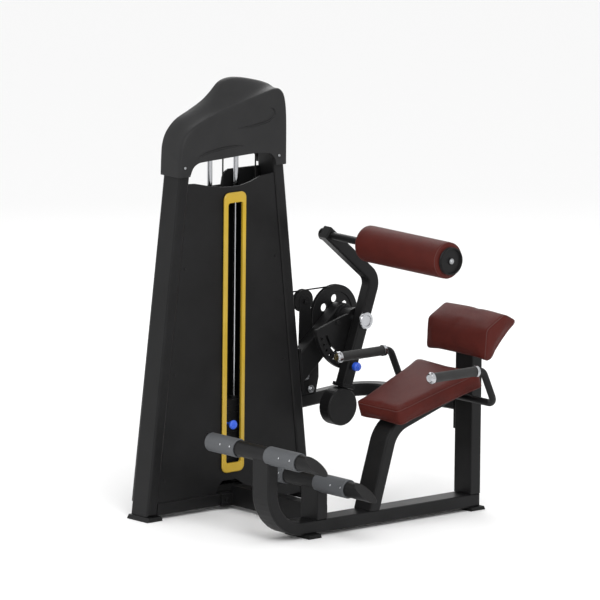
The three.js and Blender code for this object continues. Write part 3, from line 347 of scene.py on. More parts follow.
def sprayed(name, dark, light, rubbed, rough, peel, depth, radius=0.002, gloss=0.17):
    """A satin coat: base colour between dark and light, rubbed on its edges, with a fine peel."""
    made, tree, shader = start(name, Specular_IOR_Level=gloss)
    edges = use(tree, "Broken Edges", Radius=radius)
    skin = use(tree, "Sprayed Surface", Peel_Size=peel)
    body = blend_colors(tree, skin["Patch"], (*dark, 1), (*light, 1))
    color = blend_colors(tree, edges["Wear"], body, (*rubbed, 1))
    tree.links.new(color, shader.inputs["Base Color"])
    tree.links.new(ramp(tree, skin["Patch"], 0, 1, rough - 0.05, rough + 0.07), shader.inputs["Roughness"])
    tree.links.new(bump(tree, skin["Height"], depth, edges["Normal"]), shader.inputs["Normal"])
    return made


def grey(level, blue=0.0):
    """A neutral colour, or one with a trace more blue."""
    return (level, level, level + blue)


frame_paint = sprayed(
    "frame_paint", grey(0.0058, 0.0002), grey(0.0095, 0.0005), grey(0.045, 0.002), 0.40, 620, 0.00012,
)
cover_sheet = sprayed(
    "cover_sheet", grey(0.0065, 0.0002), grey(0.0100, 0.0005), grey(0.045, 0.002), 0.44, 620, 0.00014,
)
cap_plastic = sprayed(
    "cap_plastic", grey(0.0150, 0.0005), grey(0.0210, 0.0005), grey(0.034, 0.001), 0.50, 1500, 0.00016,
    radius=0.004,
)
cast_plate = sprayed("cast_plate", grey(0.006, 0.0005), grey(0.012), grey(0.08), 0.46, 380, 0.00030)
black_rubber = sprayed("black_rubber", grey(0.006), grey(0.012), grey(0.02), 0.66, 1500, 0.00014)
print("sprayed finishes", [m.name for m in bpy.data.materials if m.name != "studio_floor"])

# %% [markdown]
# ## Finish: bright metal
# The guide rods, the grips' cores and the shaft's end are hard chrome, so they are near mirrors with only
# a trace of smears. The bolts and screws are zinc-plated steel, duller, with faint marks of the lathe.

# %% Finish: bright metal
def bright(name, color, rough, rings=0.0, depth=0.00002):
    """Bare or plated metal with smears; rings is how many lathe marks there are in a metre."""
    made, tree, shader = start(name, Metallic=1.0)
    edges = use(tree, "Broken Edges", Radius=0.0012)
    skin = use(tree, "Sprayed Surface", Peel_Size=240.0, Patch_Size=22.0)
    marks = use(tree, "Rings", Along_X=rings, Along_Y=rings * 0.6, Softness=0.9)
    smear = blend_colors(tree, skin["Patch"], (*color, 1), (*(c * 0.82 for c in color), 1))
    tree.links.new(smear, shader.inputs["Base Color"])
    tree.links.new(ramp(tree, skin["Patch"], 0, 1, rough, rough + 0.08), shader.inputs["Roughness"])
    tree.links.new(bump(tree, marks["Height"], depth, edges["Normal"]), shader.inputs["Normal"])
    return made


chrome = bright("chrome", (0.52, 0.53, 0.55), 0.12, 0.0, 0.0)
satin_steel = bright("satin_steel", (0.42, 0.43, 0.44), 0.28, 900.0)
print("bright metals", chrome.name, satin_steel.name)

# %% [markdown]
# ## Finish: coloured plastic
# The yellow frame round the weight slot and the blue pull knobs are glossy mouldings. A thin clear
# coat on top keeps their highlight sharp while the coloured plastic below stays soft.

# %% Finish: coloured plastic
def moulded(name, color, shade, rough):
    """Glossy coloured plastic that drifts slowly between a colour and a darker shade of it."""
    made, tree, shader = start(name, Coat_Weight=0.35, Coat_Roughness=0.15)
    edges = use(tree, "Broken Edges", Radius=0.0025)
    skin = use(tree, "Sprayed Surface", Peel_Size=420.0, Patch_Size=9.0)
    tree.links.new(blend_colors(tree, skin["Patch"], (*color, 1), (*shade, 1)), shader.inputs["Base Color"])
    tree.links.new(ramp(tree, skin["Patch"], 0, 1, rough, rough + 0.1), shader.inputs["Roughness"])
    tree.links.new(bump(tree, skin["Height"], 0.00006, edges["Normal"]), shader.inputs["Normal"])
    return made


yellow_trim = moulded("yellow_trim", (0.50, 0.325, 0.018), (0.44, 0.285, 0.014), 0.40)
blue_knob = moulded("blue_knob", (0.030, 0.115, 0.70), (0.022, 0.090, 0.60), 0.28)
print("coloured plastics", yellow_trim.name, blue_knob.name)

# %% [markdown]
# ## Finish: ribbed rubber
# The footrest sleeves are grey rubber with fine ribs round them, and their grooves are darkened with
# painted shade. The hand grips are black foam rubber with a finer rib.

# %% Finish: ribbed rubber
def ribbed(name, color, groove, rough, along_x, along_y, depth):
    """Rubber or thread with ribs: how many in a metre along X and along Y, and how deep in metres; the
    grooves get painted shade.
    """
    made, tree, shader = start(name)
    edges = use(tree, "Broken Edges", Radius=0.0025)
    skin = use(tree, "Sprayed Surface", Peel_Size=900.0, Patch_Size=12.0)
    ribs = use(tree, "Rings", Along_X=along_x, Along_Y=along_y, Softness=0.2)
    # painted shade: the grooves between the ribs are darkened in the base colour
    body = blend_colors(tree, ribs["Groove"], (*color, 1), (*groove, 1))
    rubbed = (*(c * 1.25 for c in color), 1)
    worn = blend_colors(tree, math_node(tree, "MULTIPLY", skin["Patch"], 0.5), body, rubbed)
    tree.links.new(worn, shader.inputs["Base Color"])
    tree.links.new(ramp(tree, skin["Patch"], 0, 1, rough - 0.08, rough + 0.08), shader.inputs["Roughness"])
    tree.links.new(bump(tree, ribs["Height"], depth, edges["Normal"]), shader.inputs["Normal"])
    return made


# the second colour of each rubber is painted shade for its grooves
foot_rubber = ribbed("foot_rubber", (0.070, 0.074, 0.080), (0.050, 0.053, 0.058), 0.55, 160.0, 0.0, 0.0003)
grip_rubber = ribbed("grip_rubber", grey(0.010), grey(0.004), 0.62, 0.0, 260.0, 0.0004)
print("ribbed rubbers", foot_rubber.name, grip_rubber.name)

# %% [markdown]
# ## Finish: maroon upholstery
# The pads are covered with embossed vinyl. Light skims off the tops of the pebbles, and painted shade
# darkens the valleys between them, which are also duller. The tone of the colour drifts slowly over a
# pad, as it does where the cover is stretched more or less. The thread is the same maroon, twisted.

# %% Finish: maroon upholstery
def upholstery(name, deep, lit, rough):
    """Embossed vinyl, between a deep and a lit colour, with painted shade in the valleys of its grain."""
    made, tree, shader = start(name, Specular_IOR_Level=0.17)
    grain = use(tree, "Hide Grain", Pebble_Size=620.0, Fold_Size=14.0)
    face = blend_colors(tree, grain["Tone"], (*deep, 1), (*lit, 1))
    # painted shade: the grain's valleys are darkened in the base colour, as shade falls there
    valley_shade = (*(c * 0.55 for c in deep), 1)
    color = blend_colors(tree, math_node(tree, "MULTIPLY", grain["Valley"], 0.45), face, valley_shade)
    tree.links.new(color, shader.inputs["Base Color"])
    tree.links.new(ramp(tree, grain["Valley"], 0, 1, rough, rough + 0.18), shader.inputs["Roughness"])
    tree.links.new(bump(tree, grain["Height"], 0.00022), shader.inputs["Normal"])
    return made


maroon = upholstery("maroon_upholstery", (0.066, 0.0078, 0.0050), (0.088, 0.0108, 0.0068), 0.46)
# the thread's second colour is painted shade in the grooves of its twist
thread = ribbed(
    "maroon_thread", (0.076, 0.0100, 0.0065), (0.045, 0.0065, 0.0045), 0.6, 700.0, 700.0, 0.0002,
)
print("upholstery", maroon.name, "and its thread", thread.name)

# %% [markdown]
# ## Dress the frame
# Each solid of the frame gets the finish that its record slot names. Its curved faces are shaded
# smooth and its real corners stay sharp. Only the hand grips leave their slot's general finish: they
# share a slot with the other black rubber, but they have ribs.

# %% Dress the frame
FINISHES = {
    "frame_paint": frame_paint,
    "cover_sheet": cover_sheet,
    "cap_plastic": cap_plastic,
    "chrome": chrome,
    "iron": cast_plate,
    "yellow_trim": yellow_trim,
    "blue_knob": blue_knob,
    "upholstery": maroon,
    "foot_rubber": foot_rubber,
    "black_rubber": black_rubber,
}
OWN_FINISH = {"grip_tower_side": grip_rubber, "grip_outer_side": grip_rubber}
SHARP_CORNER = 32  # degrees between two faces
slot_of = {s["node"]: s["material_slot"] for s in frame["record"]["subparts"]}
for name, obj in frame["nodes"].items():
    obj.data.materials.clear()
    obj.data.materials.append(OWN_FINISH.get(name, FINISHES[slot_of[name]]))
    obj.data.shade_smooth()
    obj.data.set_sharp_from_angle(angle=math.radians(SHARP_CORNER))
print("dressed", len(frame["nodes"]), "nodes in", len(FINISHES) + 1, "finishes")

# %% [markdown]
# ## Helpers for new pieces
# New pieces are plain meshes built from lists of points. One helper turns a mesh into an object with a
# finish, smooth faces and a body to ride on. One sweeps a round tube along a line, for seams, beads and
# rods. One takes the result of an object's modifiers and keeps it as the object's own mesh.

# %% Helpers for new pieces
def piece(name, points, faces, finish, body, slot, sharp=SHARP_CORNER):
    """Makes a mesh object, shades it, and fixes it to a body of the frame."""
    data = bpy.data.meshes.new(name)
    data.from_pydata([tuple(p) for p in points], [], faces)
    data.validate()
    data.materials.append(finish)
    obj = bpy.data.objects.new(name, data)
    bpy.context.scene.collection.objects.link(obj)
    tidy_shading(obj, sharp)
    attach(obj, body)
    return obj


def tidy_shading(obj, sharp=SHARP_CORNER):
    """Turns all faces outwards, smooths them, and keeps corners over the sharp angle crisp."""
    shape = bmesh.new()
    shape.from_mesh(obj.data)
    bmesh.ops.recalc_face_normals(shape, faces=shape.faces)
    shape.to_mesh(obj.data)
    shape.free()
    obj.data.shade_smooth()
    obj.data.set_sharp_from_angle(angle=math.radians(sharp))


def settle(obj):
    """Keeps what an object's modifiers make as its own mesh, and removes them."""
    evaluated = obj.evaluated_get(bpy.context.evaluated_depsgraph_get())
    result = bpy.data.meshes.new_from_object(evaluated)
    obj.modifiers.clear()
    old, obj.data = obj.data, result
    bpy.data.meshes.remove(old)


def tube_mesh(line, radii, closed=False, sides=10):
    """Points and faces of a round tube along a line; radii is one number or one for each point."""
    count = len(line)
    radii = [radii] * count if isinstance(radii, (int, float)) else radii
    points, faces = [], []
    side = None
    for i, here in enumerate(line):
        before = line[i - 1] if i or closed else here
        after = line[(i + 1) % count] if i < count - 1 or closed else here
        way = (after - before).normalized()
        if side is None:
            side = way.orthogonal().normalized()
        side = (side - way * side.dot(way)).normalized()
        other = way.cross(side)
        for k in range(sides):
            turn = math.tau * k / sides
            points.append(here + (side * math.cos(turn) + other * math.sin(turn)) * radii[i])
    for i in range(count if closed else count - 1):
        a, b = i * sides, ((i + 1) % count) * sides
        faces += [(a + k, a + (k + 1) % sides, b + (k + 1) % sides, b + k) for k in range(sides)]
    if not closed:
        faces += [tuple(range(sides)), tuple(range((count - 1) * sides, count * sides))]
    return points, faces


def smooth_line(corners, steps):
    """A curve through a few points, each stretch cut into short steps."""
    n = len(corners)
    line = []
    for i in range(n - 1):
        a, b, c, d = (corners[min(max(i + k, 0), n - 1)] for k in (-1, 0, 1, 2))
        for k in range(steps):
            t = k / steps
            square, cube = 2 * a - 5 * b + 4 * c - d, 3 * b - a - 3 * c + d
            line.append(0.5 * (2 * b + (c - a) * t + square * t * t + cube * t ** 3))
    return line + [corners[-1]]


def rounded(corners, radius, steps=6):
    """A closed flat outline with each corner turned by a radius."""
    line = []
    for i, here in enumerate(corners):
        here = Vector(here)
        a = here + (Vector(corners[i - 1]) - here).normalized() * radius
        b = here + (Vector(corners[(i + 1) % len(corners)]) - here).normalized() * radius
        for k in range(steps + 1):
            t = k / steps
            line.append(a * (1 - t) ** 2 + here * 2 * t * (1 - t) + b * t * t)
    return line


print("helpers ready")

# %% [markdown]
# ## The pads
# Each pad is a board with foam on it, wrapped in vinyl that is cut in panels and sewn. The foam pushes
# the cover out between its edges, so no face is flat except the one on the board. A cushion like that
# could be carved by hand, but cloth simulation gives the crown for nothing: a slightly small closed
# form is filled with air, and no point may move further than a cap. The moves are then evened out over
# the mesh, which takes out lumps and keeps the crown. The seam cord and the stitched line are laid on the
# swollen surface afterwards, because the even mesh that the simulation needs would erase them.

# %% Pad forms
RIM_STEPS = 4
RIM_PULL = 1.15  # corners are drawn in more than straight edges


def pad_form(name, outline, low, high, edge, place):
    """A closed slab with rounded rims: an outline, swept from low to high, inset at both ends."""
    middle = sum(outline, Vector((0, 0))) / len(outline)
    rims = []
    for k in range(RIM_STEPS + 1):
        turn = math.pi / 2 * k / RIM_STEPS
        rims.append((edge * (1 - math.sin(turn)), edge * (1 - math.cos(turn))))
    levels = [(inset, low + rise) for inset, rise in rims]
    levels += [(inset, high - rise) for inset, rise in reversed(rims)]
    points, faces, n = [], [], len(outline)
    for inset, level in levels:
        for p in outline:
            inward = (middle - p).normalized() * inset * RIM_PULL
            points.append(place(*(p + inward), level))
    for i in range(len(levels) - 1):
        for k in range(n):
            a, b = i * n + k, i * n + (k + 1) % n
            faces.append((a, b, b + n, a + n))
    faces += [tuple(reversed(range(n))), tuple(range((len(levels) - 1) * n, len(levels) * n))]
    data = bpy.data.meshes.new(name)
    data.from_pydata([tuple(p) for p in points], [], faces)
    data.materials.append(maroon)
    obj = bpy.data.objects.new(name, data)
    bpy.context.scene.collection.objects.link(obj)
    tidy_shading(obj)
    return obj


def evened(obj, values, passes):
    """The values of a mesh's points, each drawn several times halfway to the mean of its neighbours."""
    neighbours = [[] for _ in obj.data.vertices]
    for edge in obj.data.edges:
        a, b = edge.vertices
        neighbours[a].append(b)
        neighbours[b].append(a)
    for _ in range(passes):
        values = [
            value.lerp(sum((values[k] for k in near), Vector()) / len(near), 0.5)
            for value, near in zip(values, neighbours)
        ]
    return values


AIR_STEPS, MOVE_PASSES, RIM_PASSES = 20, 14, 2


def swell(obj, voxel, pressure, cap, keep=None):
    """Fills a closed form with air, moves no point further than cap, and keeps what keep() allows."""
    even = obj.modifiers.new("even", "REMESH")
    even.mode, even.voxel_size = "VOXEL", voxel
    settle(obj)
    start_points = [v.co.copy() for v in obj.data.vertices]
    cloth = obj.modifiers.new("air", "CLOTH")
    cloth.settings.quality = 6
    cloth.settings.mass = 0.3
    cloth.settings.tension_stiffness = cloth.settings.compression_stiffness = 18
    cloth.settings.bending_stiffness = 6
    cloth.settings.use_pressure = True
    cloth.settings.uniform_pressure_force = pressure
    cloth.settings.effector_weights.gravity = 0
    cloth.point_cache.frame_end = 24
    for step in range(1, AIR_STEPS + 1):
        bpy.context.scene.frame_set(step)
    settle(obj)
    bpy.context.scene.frame_set(1)
    moves = []
    for vertex, begin in zip(obj.data.vertices, start_points):
        move = vertex.co - begin
        moves.append(move * (cap / move.length) if move.length > cap else move)
    moves = evened(obj, moves, MOVE_PASSES)
    rounded_off = evened(obj, start_points, RIM_PASSES)
    for vertex, begin, move in zip(obj.data.vertices, rounded_off, moves):
        vertex.co = keep(begin + move) if keep else begin + move
    finer = obj.modifiers.new("finer", "SUBSURF")
    finer.levels = finer.render_levels = 1
    settle(obj)
    obj.data.shade_smooth()
    most = max(move.length for move in moves)
    print(obj.name, len(obj.data.vertices), "points, swollen up to", round(most * 1000, 1), "mm")


print("pad helpers ready")

# %% [markdown]
# ## Seat pad
# The seat is a wedge in plan, narrow between the knees and wide under the hips. Its outline lies in the
# tilted plane of the seat, on a flat board, so the underside is held flat while the top and the sides
# swell. A block with a bevel would look like wood.

# %% Seat pad
SEAT_LENGTH, SEAT_THICK = 400, 64
seat_outline = rounded([(-124, 1), (124, 1), (184, SEAT_LENGTH - 3), (-184, SEAT_LENGTH - 3)], 20)
seat_pad = pad_form("seat_cushion", seat_outline, 0.4, SEAT_THICK + 1, 7, on_seat)
seat_up = Vector((0, -math.sin(SEAT_TILT), math.cos(SEAT_TILT)))
seat_floor = on_seat(0, 0, 0.4)


def above_pan(point):
    """The foam rests on its board, so nothing bulges below the underside."""
    drop = (point - seat_floor).dot(seat_up)
    return point - seat_up * drop if drop < 0 else point


swell(seat_pad, 0.0048, 4.0, 0.0080, above_pan)
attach(seat_pad, "frame")
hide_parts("seat_pad")

# %% [markdown]
# ## Back pad
# The back pad is a bolster with five sides seen from its end. Its outline lies in the plane of the
# arm's swing and it is swept across the seat, so the same two helpers make it. Its rear face is held
# flat on its steel plate.

# %% Back pad
BACK_HALF = 175
back_outline = rounded([(581, 613), (591, 737), (684, 788), (748, 757), (611, 613)], 15)


def across_seat(y, z, x):
    """A point of a pad whose outline is drawn from its end."""
    return at(x, y, z)


back_pad = pad_form("back_cushion", back_outline, -BACK_HALF + 1, BACK_HALF - 1, 9, across_seat)
rear_plane, rear_top = at(0, 612, 612), at(0, 754, 757)
rear_way = (rear_top - rear_plane).normalized()
rear_out = Vector((0, rear_way.z, -rear_way.y))


def ahead_of_plate(point):
    """The rear face stays flat on its steel plate."""
    past = (point - rear_plane).dot(rear_out)
    return point - rear_out * past if past > 0 else point


swell(back_pad, 0.0048, 4.5, 0.0090, ahead_of_plate)
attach(back_pad, "frame")
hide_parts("back_pad")

# %% [markdown]
# ## Roller
# The roller is a round foam sleeve that turns on the arm's axle. The same helpers make it from a round
# outline. It takes much less air than the flat pads, because its cover is stretched tight over the foam.

# %% Roller
ROLLER_AT, ROLLER_R, ROLLER_HALF = (330.6, 1048), 71.5, 238
ROLLER_SIDES = 64
roller_turns = [math.tau * k / ROLLER_SIDES for k in range(ROLLER_SIDES)]
roller_ring = [Vector(ROLLER_AT) + Vector((math.cos(a), math.sin(a))) * ROLLER_R for a in roller_turns]
roller = pad_form("roller_cushion", roller_ring, -ROLLER_HALF, ROLLER_HALF, 13, across_seat)
swell(roller, 0.0060, 2.5, 0.0018)
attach(roller, "roller")
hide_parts("roller_pad")

# %% [markdown]
# ## Seams on the pads
# The top panel of the seat is sewn to the side band with a thin piping cord, and a row of top stitches
# runs beside it. The back pad and the roller have a cord round each end. The line of each is found by
# dropping points onto the swollen surface, so the cord follows every bulge.

# %% Seams
def laid_on(target, points, lift=0.0):
    """The points moved to the nearest place on a pad's surface, then lifted off it a little."""
    tree = BVHTree.FromObject(target, bpy.context.evaluated_depsgraph_get())
    line = []
    for point in points:
        spot, normal, _, _ = tree.find_nearest(point)
        line.append(spot + normal * lift)
    return line


def piping(name, target, points, radius, body):
    """A cord sewn round a pad, sunk by three quarters of its radius."""
    line = laid_on(target, points, radius * 0.25)
    return piece(name, *tube_mesh(line, radius, closed=True, sides=8), thread, body, "upholstery", 180)


STITCH_LONG, STITCH_R = 0.0042, 0.00045


def stitches(name, target, points, body):
    """Short raised threads along a closed line on a pad."""
    line = laid_on(target, points, STITCH_R * 0.6)
    verts, faces = [], []
    last = len(line) - 1
    i = 0
    while i < last:
        j = i
        while j < last and (line[j] - line[i]).length < STITCH_LONG:
            j += 1
        a, b = line[i], line[j]
        span = [a.lerp(b, t) for t in (0.12, 0.35, 0.65, 0.88)]
        p, f = tube_mesh(span, [STITCH_R * 0.5, STITCH_R, STITCH_R, STITCH_R * 0.5], sides=5)
        faces += [tuple(k + len(verts) for k in face) for face in f]
        verts += p
        i = j
    return piece(name, verts, faces, thread, body, "upholstery", 60)


def dense(outline, spacing):
    """A closed outline cut into even short steps."""
    line = []
    for i, here in enumerate(outline):
        after = outline[(i + 1) % len(outline)]
        count = max(1, int((after - here).length / spacing))
        line += [here.lerp(after, k / count) for k in range(count)]
    return line


rim_line = dense(seat_outline, 4.0)
piping("seat_piping_top", seat_pad, [on_seat(*p, SEAT_THICK) for p in rim_line], 0.0017, "frame")
piping("seat_piping_low", seat_pad, [on_seat(*p, 5) for p in rim_line], 0.0014, "frame")
STITCH_INSET = 11
seat_middle = Vector((0, SEAT_LENGTH / 2))
inner = dense([p + (seat_middle - p).normalized() * STITCH_INSET for p in seat_outline], 0.8)
stitches("seat_stitches", seat_pad, [on_seat(*p, SEAT_THICK + 6) for p in inner], "frame")
back_line, ring_line = dense(back_outline, 4.0), dense(roller_ring, 4.0)
for side, sign in (("tower_side", -1), ("outer_side", 1)):
    back_x, roller_x = sign * (BACK_HALF - 6), sign * (ROLLER_HALF - 7)
    piping("back_piping_" + side, back_pad, [at(back_x, *p) for p in back_line], 0.0017, "frame")
    piping("roller_piping_" + side, roller, [at(roller_x, *p) for p in ring_line], 0.0015, "roller")
print("seams laid")

# %% [markdown]
# ## The moulded cap
# The cap is a vacuum-formed shell with a ridge that rises to one side and a softly turned shoulder. It is
# lofted here between a rear and a front outline with rounded rims: the rear outline is the taller one, and
# the sections pass from one to the other along a smooth step. A loft keeps the long shoulder smooth, which
# a box with bevels can't do.

# %% Cap body
CAP_FOOT = 1331
CAP_REAR = [
    (-352, 1331), (-350, 1400), (-345, 1452), (-325, 1498), (-280, 1540), (-210, 1571),
    (-150, 1600), (-110, 1628), (-66, 1665), (-20, 1677), (30, 1674), (90, 1662),
    (150, 1645), (178, 1630), (192, 1602), (196, 1550), (196, 1450), (197, 1331),
]
CAP_FACE = [
    (-352, 1331), (-351, 1370), (-349, 1402), (-340, 1458), (-314, 1499), (-270, 1526),
    (-208, 1551), (-165, 1565), (-125, 1577), (-88, 1585), (-50, 1594), (20, 1610),
    (85, 1624), (135, 1632), (162, 1624), (181, 1592), (191, 1510), (193, 1331),
]
CAP_X = (-678, -556)
REAR_RIM, FACE_RIM = 9, 13
SHOULDER_FROM, SHOULDER_LONG = -655, 90
TOWER_MIDDLE = -78
rear_line = smooth_line([Vector(p) for p in CAP_REAR], 6)
face_line = smooth_line([Vector(p) for p in CAP_FACE], 6)


def cap_ring(x, mix, inset):
    """One section of the cap: rear and front outlines mixed, and drawn in by an inset."""
    ring = []
    for rear, face in zip(rear_line, face_line):
        p = rear.lerp(face, mix)
        out = Vector((p.x - TOWER_MIDDLE, p.y - CAP_FOOT)).normalized()
        lift = inset * out.y if p.y > CAP_FOOT + 1 else 0
        ring.append(at(x, p.x - inset * out.x, max(p.y - lift, CAP_FOOT)))
    return ring


def ease(t):
    """A share from 0 to 1 that starts and ends gently."""
    t = min(1, max(0, t))
    return t * t * (3 - 2 * t)


body_from, body_to = CAP_X[0] + REAR_RIM, CAP_X[1] - FACE_RIM
sections = []
for k in range(6):
    turn = math.pi / 2 * k / 5
    sections.append((CAP_X[0] + REAR_RIM * (1 - math.cos(turn)), 0, REAR_RIM * (1 - math.sin(turn))))
for k in range(1, 9):
    x = body_from + (body_to - body_from) * k / 8
    sections.append((x, ease((x - SHOULDER_FROM) / SHOULDER_LONG), 0))
for k in range(1, 8):
    turn = math.pi / 2 * k / 7
    sections.append((body_to + FACE_RIM * math.sin(turn), 1, FACE_RIM * (1 - math.cos(turn))))
rings = [cap_ring(*section) for section in sections]
count = len(rings[0])
cap_points = [p for ring in rings for p in ring]
cap_faces = []
for level in range(len(rings) - 1):
    a, b = level * count, (level + 1) * count
    cap_faces += [(a + i, a + (i + 1) % count, b + (i + 1) % count, b + i) for i in range(count)]
cap_faces += [tuple(range(count)), tuple(range((len(rings) - 1) * count, len(rings) * count))]
CAP_CORNER = 40  # degrees: the loft's own steps stay smooth below it
cap = piece("cap_shell", cap_points, cap_faces, cap_plastic, "frame", "cap_plastic", CAP_CORNER)
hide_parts("top_cap")
print("cap body", len(cap_points), "points")

# %% [markdown]
# ## Openings in the cap
# The uprights stand in a pocket in the cap, the pulleys show through an arched window, and two finger
# grooves are pressed into its face. Each is cut with a form of the same shape: a prism for the pocket and
# the window, and a tapered round bar, laid half into the face, for a groove. A boolean cut keeps the
# edges crisp, where modelled loops would disturb the smooth loft around them.

# %% Cap pocket, window and grooves
UPRIGHT_EDGE, LEAN = 417, 0.1155  # half the tower's width at the floor, and what it loses going up


def lean(z, side, inside=0):
    """The edge of the leaning uprights at a height: side is -1 at the front, 1 at the seat."""
    return TOWER_MIDDLE + side * (UPRIGHT_EDGE - inside - LEAN * z)


def cutting_form(name, points, faces):
    """A closed form that is only used to cut with."""
    data = bpy.data.meshes.new(name)
    data.from_pydata([tuple(p) for p in points], [], faces)
    obj = bpy.data.objects.new(name, data)
    bpy.context.scene.collection.objects.link(obj)
    tidy_shading(obj)
    return obj


def prism(name, outline, low, high):
    """A cutting form with one outline all along X."""
    n = len(outline)
    points = [at(x, *p) for x in (low, high) for p in outline]
    faces = [tuple(range(n)), tuple(range(n, 2 * n))]
    faces += [(k, (k + 1) % n, n + (k + 1) % n, n + k) for k in range(n)]
    return cutting_form(name, points, faces)


ROOM = 1.5  # between the uprights and the pocket
POCKET_FOOT, UPRIGHT_TOP, POCKET_SHELF = 1291, 1430, 1438
POCKET = [
    (lean(POCKET_FOOT, -1) - ROOM, POCKET_FOOT), (lean(POCKET_FOOT, 1) + ROOM, POCKET_FOOT),
    (lean(UPRIGHT_TOP, 1) + ROOM, POCKET_SHELF), (145, POCKET_SHELF), (118, 1534), (-96, 1534),
    (-124, POCKET_SHELF), (lean(UPRIGHT_TOP, -1) - ROOM, POCKET_SHELF),
]
WINDOW = [
    (-301, 1291), (139, 1291), (138, 1330), (133, 1350), (120, 1369), (99, 1382),
    (48, 1388), (-4, 1389), (-133, 1385), (-230, 1382), (-261, 1378), (-284, 1364), (-299, 1335),
]
HOOK = [(-66, 1495), (-15, 1496), (35, 1500), (94, 1510), (124, 1532), (117, 1552), (101, 1558)]
BROW = [(-262, 1399), (-240, 1408), (-217, 1415), (-141, 1425), (-80, 1427), (-33, 1425)]
window_line = [Vector(WINDOW[0]), Vector(WINDOW[1])] + smooth_line([Vector(p) for p in WINDOW[2:]], 4)
GROOVE_R, GROOVE_TIP = 0.0060, 0.25


def groove_radius(share):
    """The cutting bar's radius at a share of its length: full in the middle and narrow at its tips."""
    return GROOVE_R * max(GROOVE_TIP, math.sin(math.pi * min(1, share * 0.96))) ** 0.5


cutters = [prism("pocket", POCKET, -669.6, -568.4), prism("window", window_line, -700, -530)]
for name, line in (("hook", HOOK), ("brow", BROW)):
    path = smooth_line([at(CAP_X[1] + 1.0, *p) for p in line], 6)
    last = len(path) - 1
    radii = [groove_radius((i + 0.4) / last) for i in range(last + 1)]
    cutters.append(cutting_form(name, *tube_mesh(path, radii, sides=12)))
for tool in cutters:
    cut = cap.modifiers.new(tool.name, "BOOLEAN")
    cut.operation, cut.object, cut.solver = "DIFFERENCE", tool, "EXACT"
settle(cap)
for tool in cutters:
    bpy.data.objects.remove(tool)
cap.data.shade_smooth()
cap.data.set_sharp_from_angle(angle=math.radians(CAP_CORNER))
print("cap cut,", len(cap.data.polygons), "faces")

# %% [markdown]
# ## Screws, bolts and nuts
# A machine like this is held together by button-head screws where a hand may brush past and by hexagon
# bolts with washers where it carries load. Each is turned from a profile. The socket in a button head
# is a real six-sided hole, because a flat disc would look like a sticker close up. The heads of each set
# share one mesh.

# %% Screw shapes
def turn_profile(profile, sides):
    """Points and faces of (radius, height) pairs turned about an axis, with a flat face at both ends."""
    points, faces = [], []
    turns = [math.tau * k / sides for k in range(sides)]
    for radius, height in profile:
        points += [Vector((radius * math.cos(a), radius * math.sin(a), height)) for a in turns]
    for s in range(len(profile) - 1):
        a, b = s * sides, (s + 1) * sides
        faces += [(a + k, a + (k + 1) % sides, b + (k + 1) % sides, b + k) for k in range(sides)]
    faces += [tuple(reversed(range(sides))), tuple(range((len(profile) - 1) * sides, len(profile) * sides))]
    return points, faces


HEAD_SIDES, SUNK = 24, 0.001


def button_head(radius):
    """A domed head with a six-sided socket, foot at height 0."""
    high, hole, n = radius * 0.58, radius * 0.40, HEAD_SIDES
    dome = [
        (radius, -SUNK), (radius, radius * 0.10), (radius * 0.93, radius * 0.32),
        (radius * 0.74, high * 0.84), (radius * 0.52, high),
    ]
    points, faces = turn_profile(dome, n)
    faces = faces[:-1]
    rim = len(points) - n
    for level in (high, high - radius * 0.36):
        for k in range(n):
            turn = math.tau * k / n
            reach = hole * math.cos(math.pi / 6) / math.cos((turn % (math.pi / 3)) - math.pi / 6)
            points.append(Vector((reach * math.cos(turn), reach * math.sin(turn), level)))
    for a in (rim, rim + n):
        faces += [(a + k, a + (k + 1) % n, a + n + (k + 1) % n, a + n + k) for k in range(n)]
    faces.append(tuple(range(rim + 2 * n, rim + 3 * n)))
    return points, faces


def hex_bolt(radius):
    """A washer with a hexagon head on it, foot at height 0."""
    base = radius * 0.22
    wide = radius * 1.45
    washer = [(wide, -SUNK), (wide, radius * 0.16), (radius * 1.38, base), (radius * 0.5, base)]
    points, faces = turn_profile(washer, HEAD_SIDES)
    head = [(radius, base - 0.0002), (radius, base + radius * 0.62), (radius * 0.84, base + radius * 0.74)]
    more, sides = turn_profile(head, 6)
    faces += [tuple(k + len(points) for k in f) for f in sides]
    return points + more, faces


def fixings(name, shape, spots, finish, body, slot):
    """One mesh of many heads: each spot is a place in the frame and the way the head points."""
    base_points, base_faces = shape
    points, faces = [], []
    for place, way in spots:
        turn = Vector(way).to_track_quat("Z", "Y").to_matrix()
        faces += [tuple(k + len(points) for k in f) for f in base_faces]
        points += [place + turn @ p for p in base_points]
    piece(name, points, faces, finish, body, slot, 30)
    print(name, len(spots), "heads")


OUT, IN = (1, 0, 0), (-1, 0, 0)
cap_spots = [(at(CAP_X[1], y, 1368), OUT) for y in (-326, 150)]
fixings("cap_screws", button_head(0.0055), cap_spots, satin_steel, "frame", "chrome")

# %% [markdown]
# ## Screws on the footrests and the covers
# Each rubber sleeve is held on its tube by small screws that point at the user, a little upwards. The
# covers are screwed to the uprights, so their screws follow the uprights' lean. Both rows are worked out
# by a loop, because a hand-placed row never lines up.

# %% Screws on the footrests and the covers
def outer_face(node):
    """The outer side of a node's box, as a drawing number."""
    return (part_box(node)[1].x - SEAT_PLANE_SHIFT.x) * 1000


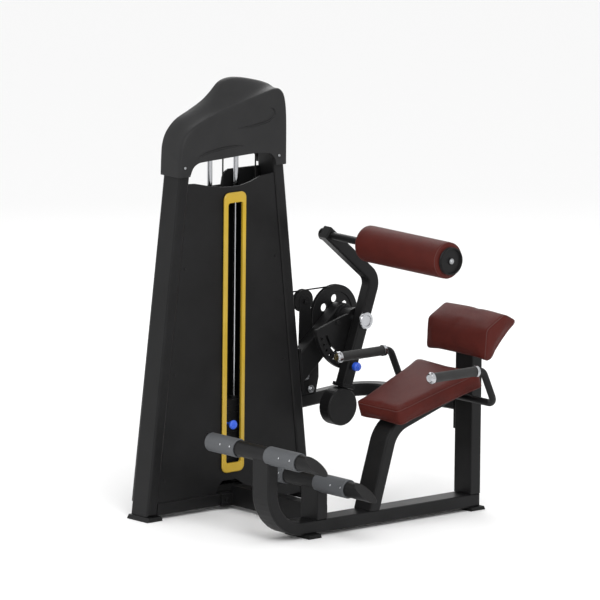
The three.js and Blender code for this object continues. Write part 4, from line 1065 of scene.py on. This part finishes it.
SLEEVE_R = 36.3
SCREW_TIP = math.radians(14)
FOOTRESTS = {(-385, 342): (-226, -170, 118, 182), (-136, 208): (-226, -170, 132, 190)}
way = Vector((0, -math.cos(SCREW_TIP), math.sin(SCREW_TIP)))
pad_screws = []
for (y, z), places in FOOTRESTS.items():
    pad_screws += [(at(x, y + SLEEVE_R * way.y, z + SLEEVE_R * way.z), way) for x in places]
fixings("footrest_screws", button_head(0.0042), pad_screws, chrome, "frame", "chrome")
REAR_FACE, REAR_LEVELS, FACE_LEVELS = -676, (120, 420, 720, 1020, 1230), (150, 560, 970)
rear_spots = [(at(REAR_FACE, lean(z, side, 87), z), IN) for side in (-1, 1) for z in REAR_LEVELS]
fixings("rear_cover_screws", button_head(0.0065), rear_spots, satin_steel, "frame", "chrome")
cover_face = outer_face("front_cover")
face_spots = [(at(cover_face, lean(z, side, 75), z), OUT) for side in (-1, 1) for z in FACE_LEVELS]
fixings("front_cover_screws", button_head(0.0050), face_spots, frame_paint, "frame", "frame_paint")

# %% [markdown]
# ## Bolts that carry load
# A bolt through the roller's end disc holds it on the axle, and the disc has a raised rim that keeps the
# foam in place. The gusset plate beside the tower is bolted on, so that the arm's support comes off for
# shipping. The rim is one closed ring turned from its section, as it would be on a lathe.

# %% Load bolts
hub_face = outer_face("roller_hub")
RIM_SECTION = [
    (0.0540, -0.002), (0.0540, 0.0028), (0.0526, 0.0038),
    (0.0490, 0.0038), (0.0478, 0.0024), (0.0478, -0.002),
]
rim_points, rim_faces = turn_profile(RIM_SECTION + RIM_SECTION[:1], 64)
rim_faces = rim_faces[:-2]  # without the end faces: the weld below closes the ring on itself
hub_turn = Vector(OUT).to_track_quat("Z", "Y").to_matrix()
hub_middle = at(hub_face, *ROLLER_AT)
placed_rim = [hub_middle + hub_turn @ p for p in rim_points]
hub_rim = piece("hub_rim", placed_rim, rim_faces, black_rubber, "roller", "frame_paint", 30)
hub_rim.modifiers.new("joined", "WELD")
settle(hub_rim)
fixings("hub_bolt", hex_bolt(0.0075), [(hub_middle, OUT)], satin_steel, "roller", "frame_paint")
gusset_face = outer_face("gusset_plate")
gusset_spots = [(at(gusset_face, 326, 471), OUT), (at(gusset_face, 352, 418), OUT)]
fixings("gusset_bolts", hex_bolt(0.0105), gusset_spots, satin_steel, "frame", "frame_paint")
